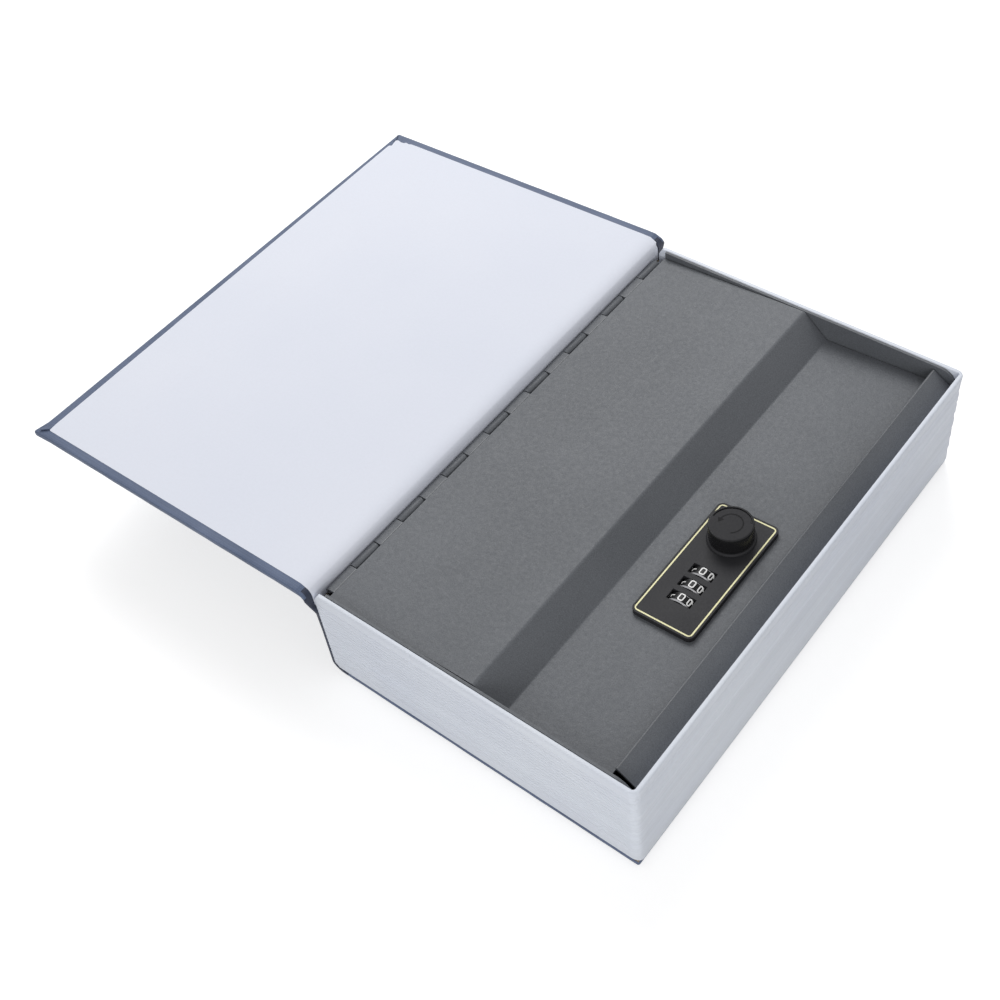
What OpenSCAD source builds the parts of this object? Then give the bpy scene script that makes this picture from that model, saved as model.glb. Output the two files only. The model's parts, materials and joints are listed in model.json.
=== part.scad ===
// Book diversion safe, lying open on its back cover.
// A steel box with a stepped lid stands in a moulded page block, between covers like a hardback's.
// x runs from the spine to the fore edge, y from the tail to the head, z up from the table.
// The origin is below the middle of the page block, on the face that the book rests on.

/* [Page block] */
// Page block from the spine to the fore edge
block_w = 148; // [136:0.5:175]
// Page block from tail to head
block_l = 233; // [225:1:280]
// Page block from the back cover to the rim
block_h = 51.7; // [48:0.1:70]
// Thickness of the moulded page walls
page_wall = 1.9; // [1.6:0.1:2.6]
// Thickness of the moulded wall along the spine
page_spine_wall = 0.8; // [0.5:0.1:0.8]
// Thickness of the moulded floor
page_floor = 1.6; // [1:0.1:3]
// Radius of the two upright corners at the fore edge
page_corner_r = 3.5; // [2.5:0.1:6]
// Radius of the lower edge along the spine
page_spine_r = 5; // [3:0.1:7]
// Radius of the lower edge at head and tail
page_end_r = 3.5; // [1.5:0.1:5]
// Radius of the lower edge along the fore edge
page_fore_r = 1.6; // [1:0.1:3]
// Number of grooves that part the pages
groove_count = 18; // [8:1:19]
// Distance from one groove to the next
groove_pitch = 2.2; // [1.8:0.1:2.3]
// Height of one groove
groove_h = 0.5; // [0.3:0.05:0.8]
// Depth of one groove
groove_d = 0.35; // [0.2:0.05:0.6]
// Smooth band between the rim and the first groove
rim_band = 5.6; // [4:0.1:7]
// Radius of the relief at the rim's inner corners by the fore edge
rim_relief_r = 0.8; // [0.5:0.1:1.2]

/* [Covers] */
// Thickness of the front and back boards
board_t = 2; // [1.5:0.1:3]
// Thickness of the cloth, and of the endpaper set flush with its turn-ins
cloth_t = 0.4; // [0.3:0.05:0.6]
// Front board beyond the page block at head, tail and fore edge
overhang = 3.5; // [2:0.1:6]
// Back cover within the page block's outline
back_inset = 0.8; // [0.2:0.1:1.6]
// Thickness of the spine board
spine_t = 1.4; // [1:0.1:2]
// Gap between the closed front cover and the rim
cover_gap = 0.3; // [0.2:0.1:1]
// Visible turn-in at head and tail
turn_in = 3.8; // [3:0.1:8]
// Visible turn-in at the fore edge, at its tail end
turn_in_tail = 4.4; // [2:0.1:8]
// Visible turn-in at the fore edge, at its head end
turn_in_head = 2.2; // [1.8:0.1:8]
// Angle between the closed and the open front cover
cover_angle = 181.8; // [175:0.1:184]
// Where the spine's cloth starts to widen towards the cover, below the rim
widen_drop = 25; // [20:0.5:32]
// Where the widening cloth passes the page block's ends, below the rim
pass_drop = 13.7; // [8:0.1:18]
// Cover hinge line outside the page block's spine face
joint_out = 4.75; // [4:0.05:6]
// Cover hinge line above the rim
joint_up = 1.35; // [1:0.05:2]

/* [Steel box] */
// Thickness of the box and lid sheet
sheet_t = 1; // [0.8:0.05:1.2]
// Gap between the box and the page walls
box_gap = 0.25; // [0.2:0.05:0.8]
// Box spine wall within the page block's spine face
hinge_inset = 1.1; // [1:0.1:2]
// Box end walls below the rim
wall_drop = 0.3; // [0.2:0.1:1]
// Radius of the end walls' corner above the front wall
wall_corner_r = 7.5; // [5:0.1:9]
// Front flange, from the front wall to its free edge
flange_reach = 10; // [8:0.1:12]
// Free edge of the flange below the rim
flange_drop = 1.8; // [1:0.1:3]
// Rise of the flange from the bend to its free edge, in degrees
flange_angle = 33; // [20:1:40]
// Outer radius of the flange's bend
flange_bend_r = 3.4; // [2.5:0.1:4.5]
// Gap between the flange and the tail wall
flange_tail_gap = 3; // [1:0.1:5]
// Gap between the flange and the head wall
flange_head_gap = 0.6; // [0.4:0.1:3]
// Width of the ledge under the lid's front edge
ledge_w = 15; // [13:0.1:18]
// Ends of the ledge in from the box's ends
ledge_end = 19; // [5:0.5:40]
// Height of the ledge's leg against the front wall
ledge_leg = 12; // [8:0.5:14]
// Thickness of the ledge's sheet
ledge_t = 1.2; // [1:0.1:1.6]
// Diameter of the rivets' heads
rivet_d = 7; // [5:0.1:9]
// Height of the rivets' heads
rivet_h = 0.9; // [0.6:0.1:1.2]
// Diameter of the rivets' shanks
rivet_shank_d = 3.2; // [2.4:0.1:4]
// Rivets in from the box's walls
rivet_in = 16; // [12:1:30]

/* [Lid hinge] */
// Diameter of the hinge pin
pin_d = 2; // [1.6:0.1:2.4]
// Running clearance of the pin in the knuckles, on the radius
pin_clear = 0.05; // [0.03:0.01:0.09]
// Ends of the knuckle row in from the box's ends
hinge_end = 4.35; // [3.5:0.05:20]
// Knuckles on the box, and as many on the lid
knuckle_count = 8; // [5:1:9]
// Gap between neighbouring knuckles
knuckle_gap = 0.5; // [0.3:0.1:1]
// Gap between a knuckle and the sheet cut out around it
notch_gap = 0.6; // [0.4:0.1:1]

/* [Lid] */
// Tilt of the closed lid, higher at the front
lid_tilt = 2.6; // [2:0.1:3.5]
// Lower flat, from the foot of the slope to the front edge
lower_w = 46.4; // [42:0.1:60]
// Run of the slope from the crest to the foot
slope_run = 11.2; // [8:0.1:12.5]
// Depth of the step, from the upper to the lower flat
step_h = 11.3; // [11:0.1:12.8]
// Crest below the rim
crest_drop = 0.1; // [0:0.1:1]
// Gap between the lid and the box's end walls
lid_end_gap = 0.4; // [0.4:0.1:1.2]
// Gap between the lid's front edge and the flange's free edge
lid_front_gap = 2.3; // [1.5:0.1:3]

/* [Combination lock] */
// Lock plate across
plate_w = 27.2; // [25:0.1:29]
// Lock plate along the lid
plate_l = 62; // [60:0.5:70]
// Thickness of the lock plate
plate_t = 2.3; // [1.8:0.1:2.6]
// Corner radius of the lock plate
plate_r = 2.7; // [2:0.1:4]
// Centre line of the lock behind the lid's front edge
lock_back = 20.8; // [19:0.1:23]
// Knob's centre from the middle of the lid, towards the tail
lock_off = 2; // [0:0.1:10]
// Knob's centre from the plate's head end
knob_in = 13.6; // [12:0.1:17]
// Diameter of the knob
knob_d = 17.8; // [15:0.1:19]
// Highest edge of the knob above the rim: the closed cover comes to rest on it
knob_rise = 1.7; // [0:0.1:2]
// Diameter of the collar under the knob
collar_d = 19.4; // [18.6:0.1:23]
// Height of the collar
collar_h = 1.2; // [0.8:0.1:1.6]
// Diameter of the number wheels
dial_d = 12.8; // [12:0.1:13.8]
// Width of one number wheel
dial_w = 4.2; // [3.6:0.1:4.3]
// Distance from one number wheel to the next
dial_pitch = 7.2; // [6.6:0.1:7.6]
// Middle wheel from the knob's centre
dial_back = 27.1; // [25:0.1:28]
// Top of the wheels above the plate's face
dial_rise = 0.7; // [0.3:0.1:0.9]
// Length of a window, across the plate
window_l = 10.4; // [9:0.1:11.4]
// Width of a window
window_w = 4.8; // [4.7:0.1:5.4]
// Gold line in from the plate's edge
line_in = 0.85; // [0.6:0.05:2.2]
// Width of the gold line
line_w = 0.7; // [0.5:0.05:1]
// Length of the cam from the spindle to its tip
cam_l = 25; // [23:0.1:26]
// Width of the cam
cam_w = 10; // [8:0.1:12]
// Thickness of the cam
cam_t = 1.5; // [1.2:0.1:2]
// Diameter of the spindle
spindle_d = 6; // [5:0.1:6.4]

/* [Hidden] */
$fn = 48;

// One overrun serves every cut
over = 1;
// Pieces on one body that lie against each other with curved faces stay this far apart
seat_gap = 0.05;
// Running gap between pieces on different bodies
run_gap = 0.3;
// Steps of a sheet's bend
bend_steps = 6;
// Inner radius of the lid's two bends
bend_r = 1;
// Hinge pin beyond the row of knuckles
pin_out = 0.5;
// Top of a rivet's head as a share of its diameter
rivet_top_share = 0.6;

// Heights
base_t = cloth_t + board_t;
rim_z = base_t + block_h;
box_z = base_t + page_floor;
inside_z = box_z + sheet_t;

// Page block
half_w = block_w / 2;
half_l = block_l / 2;
groove_top = block_h - rim_band;

// Box
box_half_l = half_l - page_wall - box_gap;
box_spine_x = -half_w + hinge_inset;
box_fore_x = half_w - page_wall - box_gap;
inside_half_l = box_half_l - sheet_t;

// Lid hinge and lid. The lid's own frame: x from the hinge line towards the front, z up from the hinge line
pin_r = pin_d / 2;
bore_r = pin_r + pin_clear;
knuckle_r = bore_r + sheet_t;
upper_z = knuckle_r;
lower_z = upper_z - step_h;
hinge_x = box_spine_x + sheet_t / 2;
flange_tip_x = box_fore_x - flange_reach;
lid_front_x = (flange_tip_x - lid_front_gap - hinge_x + lower_z * sin(lid_tilt)) / cos(lid_tilt);
foot_x = lid_front_x - lower_w;
upper_w = foot_x - slope_run;
hinge_z = rim_z - crest_drop - upper_w * sin(lid_tilt) - knuckle_r * cos(lid_tilt);
hinge_l = 2 * (box_half_l - hinge_end);
segment_l = hinge_l / (2 * knuckle_count);
wall_top_z = hinge_z - knuckle_r - notch_gap;
wall_corner_z = rim_z - wall_drop - wall_corner_r;
lid_half_l = inside_half_l - lid_end_gap;

// Lock, in the lid's frame
lock_x = lid_front_x - lock_back;
plate_top_z = lower_z + plate_t;
plate_mid_y = knob_in - plate_l / 2;
knob_r = knob_d / 2;
knob_gap = 0.25;
knob_base_z = plate_top_z + collar_h + knob_gap;
knob_top_z = (rim_z + knob_rise - hinge_z - (lock_x + knob_r) * sin(lid_tilt)) / cos(lid_tilt);
dial_r = dial_d / 2;
dial_axis_z = plate_top_z + dial_rise - dial_r;
axle_r = 1.5;
sleeve_r = 3;
disc_step = 1;
disc_r = sleeve_r + disc_step;
disc_t = 0.9;
notch_w = 2;
spindle_r = spindle_d / 2;
knob_edge = 0.5;
knob_groove_t = 0.5;
knob_groove_from = 40;
knob_groove_turn = 140;
knob_grip_h = 4.5;
line_t = 0.2;
screw_r = 1;
screw_head_h = 1;

// Lock body: deep over the wheels, shallow under the knob
body_top_z = lower_z - sheet_t - seat_gap;
body_wall = 1.4;
wheel_room = dial_r + run_gap;
side_wall = 3.6;
body_half_w = wheel_room + side_wall;
wheels_half = dial_pitch + dial_w / 2 + seat_gap + disc_t + run_gap;
body_tail_y = -dial_back - wheels_half - 2 * body_wall;
body_mid_y = -dial_back + wheels_half + 2 * body_wall;
body_head_y = body_half_w;
spring_t = 0.4;
spring_z = dial_axis_z - dial_r - run_gap - spring_t;
slider_plate_t = 0.6;
body_low_z = spring_z - slider_plate_t - 2 * run_gap;
back_t = 1;
slider_travel = 4;
slider_half_w = 5;
slider_y = -dial_back - wheels_half + run_gap;
slider_l = 2 * wheels_half - slider_travel - 2 * run_gap;
tab_w = 3;
tab_l = 2;
tab_h = 1.6;
slider_tab_y = slider_y + slider_l / 2;
screw_x = (wheel_room + body_half_w) / 2;

// Cam, under the shallow part of the body
cam_gap = 0.3;
ledge_gap = 0.25;
ledge_top_z = lid_z(lid_front_x, lower_z - sheet_t) - ledge_gap;
ledge_x = box_fore_x - sheet_t - ledge_w;
ledge_half_l = box_half_l - ledge_end;
cam_tip_x = lock_x + cam_l;
cam_tip_top = (ledge_top_z - ledge_t - run_gap - hinge_z - cam_tip_x * sin(lid_tilt)) / cos(lid_tilt);
cam_z = cam_tip_top - cam_t;
knob_body_z = cam_tip_top + cam_gap;
thread_share = 0.72;
thread_r = spindle_r * thread_share;
thread_out = 0.5;
washer_t = 0.8;
washer_r = 5.2;
nut_h = 2.6;
nut_r = 4.6;

// Cover hinge
cover_x = -half_w - joint_out;
cover_z = rim_z + joint_up;
cover_in_z = rim_z + cover_gap;
cover_fore_x = half_w + overhang;
cover_half_l = half_l + overhang;
board_back = 0.25;
cover_start_x = -half_w - board_back;
cover_out_z = cover_in_z + 2 * cloth_t + board_t;
spine_out_x = -half_w - spine_t - cloth_t;
spine_low_z = base_t + page_spine_r + spine_t;
spine_half_l = half_l - back_inset;
widen_z = rim_z - widen_drop;
pass_z = rim_z - pass_drop;

// Cloth and endpaper over the joint, where they meet the open cover
joint_end_x = cover_start_x - seat_gap;
open_in_z = open_z(joint_end_x, cover_in_z);
open_out_z = open_z(joint_end_x, cover_out_z);
joint_r = 2.2;
gutter_r = 4.5;
gutter_end = [-half_w - spine_t + cloth_t, wall_top_z + run_gap];

// A place on the closed cover, moved to the open cover
function open_x(x, z) = cover_x + (x - cover_x) * cos(cover_angle) - (z - cover_z) * sin(cover_angle);
function open_z(x, z) = cover_z + (x - cover_x) * sin(cover_angle) + (z - cover_z) * cos(cover_angle);
function on_open(x, z) = [open_x(x, z), open_z(x, z)];
function lid_x(x, z) = hinge_x + x * cos(lid_tilt) - z * sin(lid_tilt);
function lid_z(x, z) = hinge_z + x * sin(lid_tilt) + z * cos(lid_tilt);
function arc(cx, cz, r, from, to, steps = bend_steps) =
    [for (i = [0:steps]) let (turn = from + (to - from) * i / steps)
        [cx + r * cos(turn), cz + r * sin(turn)]];
function reversed(list) = [for (i = [len(list) - 1:-1:0]) list[i]];

// Draws its children in the lid's frame
module on_lid() translate([hinge_x, 0, hinge_z]) rotate([0, -lid_tilt, 0]) children();

// Draws its children, modelled on the closed book, where the open cover has them
module on_cover()
    translate([cover_x, 0, cover_z])
        rotate([0, -cover_angle, 0])
            translate([-cover_x, 0, -cover_z])
                children();

// Extrudes an outline in x and z along y, between two places
module along_y(from, to) translate([0, to, 0]) rotate([90, 0, 0]) linear_extrude(to - from) children();

// A cylinder along y, between two places
module rod_y(x, z, r, from, to)
    translate([x, to, z]) rotate([90, 0, 0]) cylinder(r = r, h = to - from);

// A block between two corners
module block(low, high) translate(low) cube(high - low);

// A rectangle with four round corners
module rounded(w, l, r) {
    square([w - 2 * r, l], center = true);
    square([w, l - 2 * r], center = true);
    for (x = [-1, 1]) for (y = [-1, 1])
        translate([x * (w / 2 - r), y * (l / 2 - r)]) circle(r);
}

// Plan of the page block, drawn in on three sides; the spine side is square
module page_plan(inset) {
    r = page_corner_r;
    fore = half_w - inset;
    end = half_l - inset;
    translate([-half_w, -end]) square([half_w + fore - r, 2 * end]);
    translate([-half_w, -end + r]) square([half_w + fore, 2 * (end - r)]);
    for (y = [-1, 1]) translate([fore - r, y * (end - r)]) circle(r);
}

// Side view of the page block, with its lower edges rounded, from the tail and from the spine
module page_side() {
    difference() {
        translate([-half_w, base_t]) square([block_w, block_h]);
        translate([-half_w, base_t]) difference() {
            translate([-over, -over]) square(page_spine_r + over);
            translate([page_spine_r, page_spine_r]) circle(page_spine_r);
        }
        translate([half_w, base_t]) difference() {
            translate([-page_fore_r, -over]) square(page_fore_r + over);
            translate([-page_fore_r, page_fore_r]) circle(page_fore_r);
        }
    }
}

module page_end() {
    difference() {
        translate([-half_l, base_t]) square([block_l, block_h]);
        for (side = [-1, 1]) scale([side, 1]) translate([half_l, base_t]) difference() {
            translate([-page_end_r, -over]) square(page_end_r + over);
            translate([-page_end_r, page_end_r]) circle(page_end_r);
        }
    }
}

module page_block() color("ghostwhite") {
    difference() {
        intersection() {
            translate([0, 0, base_t]) linear_extrude(block_h) page_plan(0);
            along_y(-half_l - over, half_l + over) page_side();
            translate([-half_w - over, 0, 0]) rotate([90, 0, 90])
                linear_extrude(block_w + 2 * over) page_end();
        }
        for (i = [0:groove_count - 1])
            translate([0, 0, base_t + groove_top - i * groove_pitch - groove_h])
                linear_extrude(groove_h) difference() {
                    page_plan(-over);
                    page_plan(groove_d);
                }
        // room for the box, and for the hinge above the wall along the spine
        block([-half_w + page_spine_wall, -half_l + page_wall, box_z],
            [half_w - page_wall, half_l - page_wall, rim_z + over]);
        block([-half_w - over, -half_l + page_wall, wall_top_z],
            [half_w - page_wall, half_l - page_wall, rim_z + over]);
        for (y = [-1, 1]) translate([half_w - page_wall, y * (half_l - page_wall), rim_z - flange_drop])
            cylinder(r = rim_relief_r, h = flange_drop + over);
        for (x = rivet_xs()) for (y = rivet_ys()) translate([x, y, base_t - over])
            cylinder(d = rivet_shank_d + 2 * seat_gap, h = page_floor + 2 * over);
    }
}

function rivet_xs() = [box_spine_x + rivet_in, box_fore_x - rivet_in];
function rivet_ys() = [-box_half_l + rivet_in, box_half_l - rivet_in];

module back_board() color("tan") {
    difference() {
        block([-half_w + page_spine_r, -half_l + back_inset + cloth_t, cloth_t],
            [half_w - back_inset - cloth_t, half_l - back_inset - cloth_t, base_t]);
        for (x = rivet_xs()) for (y = rivet_ys()) translate([x, y, base_t - board_t / 2])
            cylinder(d = rivet_shank_d + 2 * seat_gap, h = board_t);
    }
}

// Cloth of the back cover and spine: one sheet round the lower edge and up the spine
module case_cloth() color("slategray") {
    r = page_spine_r + spine_t + cloth_t;
    cx = -half_w + page_spine_r;
    cz = r;
    sheet = concat([[half_w - back_inset, base_t], [half_w - back_inset, 0]], [[cx, 0]],
        arc(cx, cz, r, 270, 180, 8), [[spine_out_x, widen_z], [spine_out_x + cloth_t, widen_z]],
        reversed(arc(cx, cz, r - cloth_t, 270, 180, 8)), [[cx, cloth_t]],
        [[half_w - back_inset - cloth_t, cloth_t], [half_w - back_inset - cloth_t, base_t]]);
    along_y(-spine_half_l, spine_half_l) polygon(sheet);
    for (side = [0, 1]) mirror([0, side, 0]) {
        block([cx, spine_half_l - cloth_t, cloth_t / 2],
            [half_w - back_inset - cloth_t / 2, spine_half_l, base_t]);
        block([spine_out_x + cloth_t / 2, spine_half_l - cloth_t, spine_low_z],
            [-half_w, spine_half_l, widen_z]);
        block([spine_out_x + cloth_t, spine_half_l - cloth_t, spine_low_z],
            [-half_w, spine_half_l, wall_top_z]);
    }
}

module spine_board() color("tan")
    block([-half_w - spine_t, -spine_half_l + cloth_t, spine_low_z],
        [-half_w, spine_half_l - cloth_t, wall_top_z]);

// Profile of the front wall and its flange: up, round the bend and up to the free edge
module flange_profile() {
    turn = 90 - flange_angle;
    tip_z = rim_z - flange_drop;
    bend_cx = box_fore_x - flange_bend_r;
    inner_r = flange_bend_r - sheet_t;
    // the bend's centre is as high as brings the free edge to its height
    straight = (flange_reach - flange_bend_r * (1 - cos(turn))) / cos(flange_angle);
    bend_cz = tip_z - flange_bend_r * sin(turn) - straight * sin(flange_angle);
    outer_end = [bend_cx + flange_bend_r * cos(turn), bend_cz + flange_bend_r * sin(turn)];
    inner_end = [bend_cx + inner_r * cos(turn), bend_cz + inner_r * sin(turn)];
    run = [-straight * cos(flange_angle), straight * sin(flange_angle)];
    polygon(concat([[box_fore_x - sheet_t, box_z], [box_fore_x, box_z]],
        arc(bend_cx, bend_cz, flange_bend_r, 0, turn), [outer_end + run], [inner_end + run],
        reversed(arc(bend_cx, bend_cz, inner_r, 0, turn))));
}

// Outline of the box's end walls: full height from the hinge to the round corner at the front
module end_wall_profile() {
    top = rim_z - wall_drop;
    hinge_clear = hinge_x + knuckle_r + notch_gap;
    polygon(concat([[box_spine_x, box_z], [box_fore_x, box_z], [box_fore_x, wall_corner_z]],
        arc(box_fore_x - wall_corner_r, wall_corner_z, wall_corner_r, 0, 90),
        [[hinge_clear, top], [hinge_clear, wall_top_z], [box_spine_x, wall_top_z]]));
}

module steel_box() color("dimgray") {
    difference() {
        union() {
            block([box_spine_x, -box_half_l, box_z], [box_fore_x, box_half_l, inside_z]);
            block([box_spine_x, -box_half_l, box_z], [box_spine_x + sheet_t, box_half_l, wall_top_z]);
            for (side = [0, 1]) mirror([0, side, 0]) along_y(inside_half_l, box_half_l) end_wall_profile();
            intersection() {
                along_y(-box_half_l, box_half_l) flange_profile();
                union() {
                    block([flange_tip_x - over, -inside_half_l + flange_tail_gap, box_z],
                        [box_fore_x + over, inside_half_l - flange_head_gap, rim_z]);
                    block([flange_tip_x - over, -box_half_l, box_z],
                        [box_fore_x + over, box_half_l, wall_corner_z]);
                }
            }
            for (i = [0:knuckle_count - 1]) box_knuckle(-hinge_l / 2 + (2 * i + 1) * segment_l);
        }
        rod_y(hinge_x, hinge_z, bore_r, -box_half_l - over, box_half_l + over);
        for (x = rivet_xs()) for (y = rivet_ys()) translate([x, y, box_z - over])
            cylinder(d = rivet_shank_d + 2 * seat_gap, h = sheet_t + 2 * over);
    }
}

// One knuckle of the box: the spine wall's sheet runs up and curls round the pin
module box_knuckle(y) {
    from = y + knuckle_gap / 2;
    to = y + segment_l - knuckle_gap / 2;
    rod_y(hinge_x, hinge_z, knuckle_r, from, to);
    block([box_spine_x, from, wall_top_z - sheet_t], [box_spine_x + sheet_t, to, hinge_z]);
}

// Angle under the lid's front edge: the lid rests on it, and the cam turns in below it
module front_ledge() color("gray") {
    wall_x = box_fore_x - sheet_t;
    along_y(-ledge_half_l, ledge_half_l) polygon([[ledge_x, ledge_top_z - ledge_t], [ledge_x, ledge_top_z],
        [wall_x, ledge_top_z], [wall_x, ledge_top_z - ledge_leg],
        [wall_x - ledge_t, ledge_top_z - ledge_leg], [wall_x - ledge_t, ledge_top_z - ledge_t]]);
}

module box_rivets() color("silver")
    for (x = rivet_xs()) for (y = rivet_ys()) translate([x, y, base_t - board_t / 2]) {
        cylinder(d = rivet_shank_d, h = inside_z - base_t + board_t / 2 + rivet_h / 2);
        translate([0, 0, inside_z - base_t + board_t / 2])
            cylinder(d1 = rivet_d, d2 = rivet_d * rivet_top_share, h = rivet_h);
    }

module hinge_pin() color("silver")
    rod_y(hinge_x, hinge_z, pin_r, -hinge_l / 2 - pin_out, hinge_l / 2 + pin_out);

module front_board() color("tan") on_cover()
    block([cover_start_x + cloth_t, -cover_half_l + cloth_t, cover_in_z + cloth_t],
        [cover_fore_x - cloth_t, cover_half_l - cloth_t, cover_in_z + cloth_t + board_t]);

// Plan of the endpaper's pasted half: its fore edge is not quite square
module endpaper_plan(start)
    polygon([[start, -cover_half_l + turn_in], [cover_fore_x - turn_in_tail, -cover_half_l + turn_in],
        [cover_fore_x - turn_in_head, cover_half_l - turn_in], [start, cover_half_l - turn_in]]);

module front_endpaper() color("lavender") on_cover()
    translate([0, 0, cover_in_z]) linear_extrude(cloth_t) endpaper_plan(cover_start_x);

module front_cloth() color("slategray") on_cover()
    difference() {
        block([cover_start_x, -cover_half_l, cover_in_z], [cover_fore_x, cover_half_l, cover_out_z]);
        block([cover_start_x + cloth_t, -cover_half_l + cloth_t, cover_in_z + cloth_t],
            [cover_fore_x - cloth_t, cover_half_l - cloth_t, cover_in_z + cloth_t + board_t]);
        translate([0, 0, cover_in_z - over])
            linear_extrude(cloth_t + over) endpaper_plan(cover_start_x - over);
    }

// Cloth between the spine and the open cover: it widens on its way up and rolls out to the board's edge
module joint_cloth() color("slategray") {
    cx = spine_out_x - joint_r;
    cz = open_out_z - joint_r;
    intersection() {
        along_y(-cover_half_l, cover_half_l) polygon(concat(
            [[spine_out_x + cloth_t, widen_z], [spine_out_x, widen_z]],
            arc(cx, cz, joint_r, 0, 90), [on_open(joint_end_x, cover_out_z)],
            [on_open(joint_end_x, cover_out_z - cloth_t)], reversed(arc(cx, cz, joint_r + cloth_t, 0, 90))));
        translate([-block_w, 0, 0]) rotate([90, 0, 90]) linear_extrude(block_w) polygon([
            [-spine_half_l, widen_z], [-half_l - run_gap, pass_z],
            [-cover_half_l, cz], [-cover_half_l, rim_z + overhang],
            [cover_half_l, rim_z + overhang], [cover_half_l, cz],
            [half_l + run_gap, pass_z], [spine_half_l, widen_z]]);
    }
}

// Endpaper over the joint: from the cover's pasted half it rolls down to the hinge line
module gutter_paper() color("lavender") {
    profile = concat([on_open(joint_end_x, cover_in_z)], gutter_arc(0),
        [gutter_end, gutter_end - [cloth_t, 0]], reversed(gutter_arc(cloth_t)),
        [on_open(joint_end_x, cover_in_z + cloth_t)]);
    along_y(-cover_half_l + turn_in, cover_half_l - turn_in) polygon(profile);
}

function gutter_arc(inward) =
    arc(gutter_end[0] - gutter_r, open_in_z - gutter_r, gutter_r - inward, 90, 0, 8);

// Profile of the lid's sheet: upper flat, slope and lower flat, with a round bend between each two
module lid_profile() {
    fall = atan(step_h / slope_run);
    back_r = bend_r + sheet_t;
    crest = [upper_w - back_r * tan(fall / 2), upper_z - back_r];
    foot = [foot_x + bend_r * tan(fall / 2), lower_z + bend_r];
    polygon(concat([[0, upper_z]], arc(crest[0], crest[1], back_r, 90, 90 - fall),
        arc(foot[0], foot[1], bend_r, 270 - fall, 270),
        [[lid_front_x, lower_z], [lid_front_x, lower_z - sheet_t]],
        reversed(arc(foot[0], foot[1], back_r, 270 - fall, 270)),
        reversed(arc(crest[0], crest[1], bend_r, 90, 90 - fall)), [[0, upper_z - sheet_t]]));
}

module lid_panel() color("gray") on_lid() {
    difference() {
        union() {
            along_y(-lid_half_l, lid_half_l) lid_profile();
            for (i = [0:knuckle_count - 1]) rod_y(0, 0, knuckle_r,
                -hinge_l / 2 + 2 * i * segment_l + knuckle_gap / 2,
                -hinge_l / 2 + (2 * i + 1) * segment_l - knuckle_gap / 2);
        }
        rod_y(0, 0, bore_r, -lid_half_l - over, lid_half_l + over);
        // room for the box's knuckles, and past both ends of the row
        for (i = [0:knuckle_count - 1]) lid_notch(-hinge_l / 2 + (2 * i + 1) * segment_l, segment_l);
        lid_notch(-lid_half_l - over, lid_half_l + over - hinge_l / 2);
        lid_notch(hinge_l / 2, lid_half_l + over - hinge_l / 2);
        translate([lock_x, -lock_off, 0]) lid_cut_outs();
    }
}

// Cuts the lid's sheet away over one segment of the hinge
module lid_notch(from, length) {
    reach = knuckle_r + notch_gap;
    block([-reach, from - knuckle_gap / 2, -reach], [reach, from + length + knuckle_gap / 2, reach]);
}

// Through the lid's lower flat, under the lock plate
module lid_cut_outs() {
    low = lower_z - sheet_t - over;
    top = lower_z + over;
    block([-wheel_room, -dial_back - wheels_half, low], [wheel_room, -dial_back + wheels_half, top]);
    translate([0, 0, low]) cylinder(r = spindle_r + run_gap, h = top - low);
    for (at = screw_places()) translate([at[0], at[1], low]) cylinder(r = screw_r + seat_gap, h = top - low);
}

function screw_places() =
    [for (x = [-1, 1]) for (y = [-1, 1]) [x * screw_x, -dial_back + y * (wheels_half - screw_r)]];

// Draws its children on the lid, round the knob's axis
module on_lock() on_lid() translate([lock_x, -lock_off, 0]) children();

module lock_plate() color("dimgray") on_lock() difference() {
    translate([0, plate_mid_y, lower_z]) linear_extrude(plate_t) rounded(plate_w, plate_l, plate_r);
    translate([0, 0, lower_z - over]) cylinder(r = spindle_r + run_gap, h = plate_t + 2 * over);
    // windows, with room below for the wheels, and under their bars for the sleeves' discs
    for (i = [-1:1]) translate([0, -dial_back + i * dial_pitch, 0]) {
        block([-window_l / 2, -window_w / 2, lower_z - over],
            [window_l / 2, window_w / 2, plate_top_z + over]);
        rod_y(0, dial_axis_z, wheel_room, -window_w / 2, window_w / 2);
    }
    rod_y(0, dial_axis_z, disc_r + run_gap, -dial_back - wheels_half, -dial_back + wheels_half);
    translate([0, plate_mid_y, plate_top_z - line_t]) linear_extrude(line_t + over) line_plan(0);
    for (at = screw_places()) translate([at[0], at[1], lower_z - over])
        cylinder(r = screw_r + seat_gap, h = over + plate_t / 2);
}

// Plan of the gold line, wider by a margin on both sides
module line_plan(margin) difference() {
    w = plate_w - 2 * line_in;
    l = plate_l - 2 * line_in;
    r = plate_r - line_in;
    rounded(w + 2 * margin, l + 2 * margin, r + margin);
    rounded(w - 2 * line_w - 2 * margin, l - 2 * line_w - 2 * margin, r / 2);
}

module gold_line() color("gold") on_lock()
    translate([0, plate_mid_y, plate_top_z - line_t]) linear_extrude(line_t) line_plan(-seat_gap);

module knob_collar() color("dimgray") on_lock() translate([0, 0, plate_top_z]) rotate_extrude($fn = 72)
    polygon([[spindle_r + pin_clear, 0], [collar_d / 2, 0], [collar_d / 2, collar_h / 2],
        [collar_d / 2 - collar_h / 2, collar_h], [spindle_r + pin_clear, collar_h]]);

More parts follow.
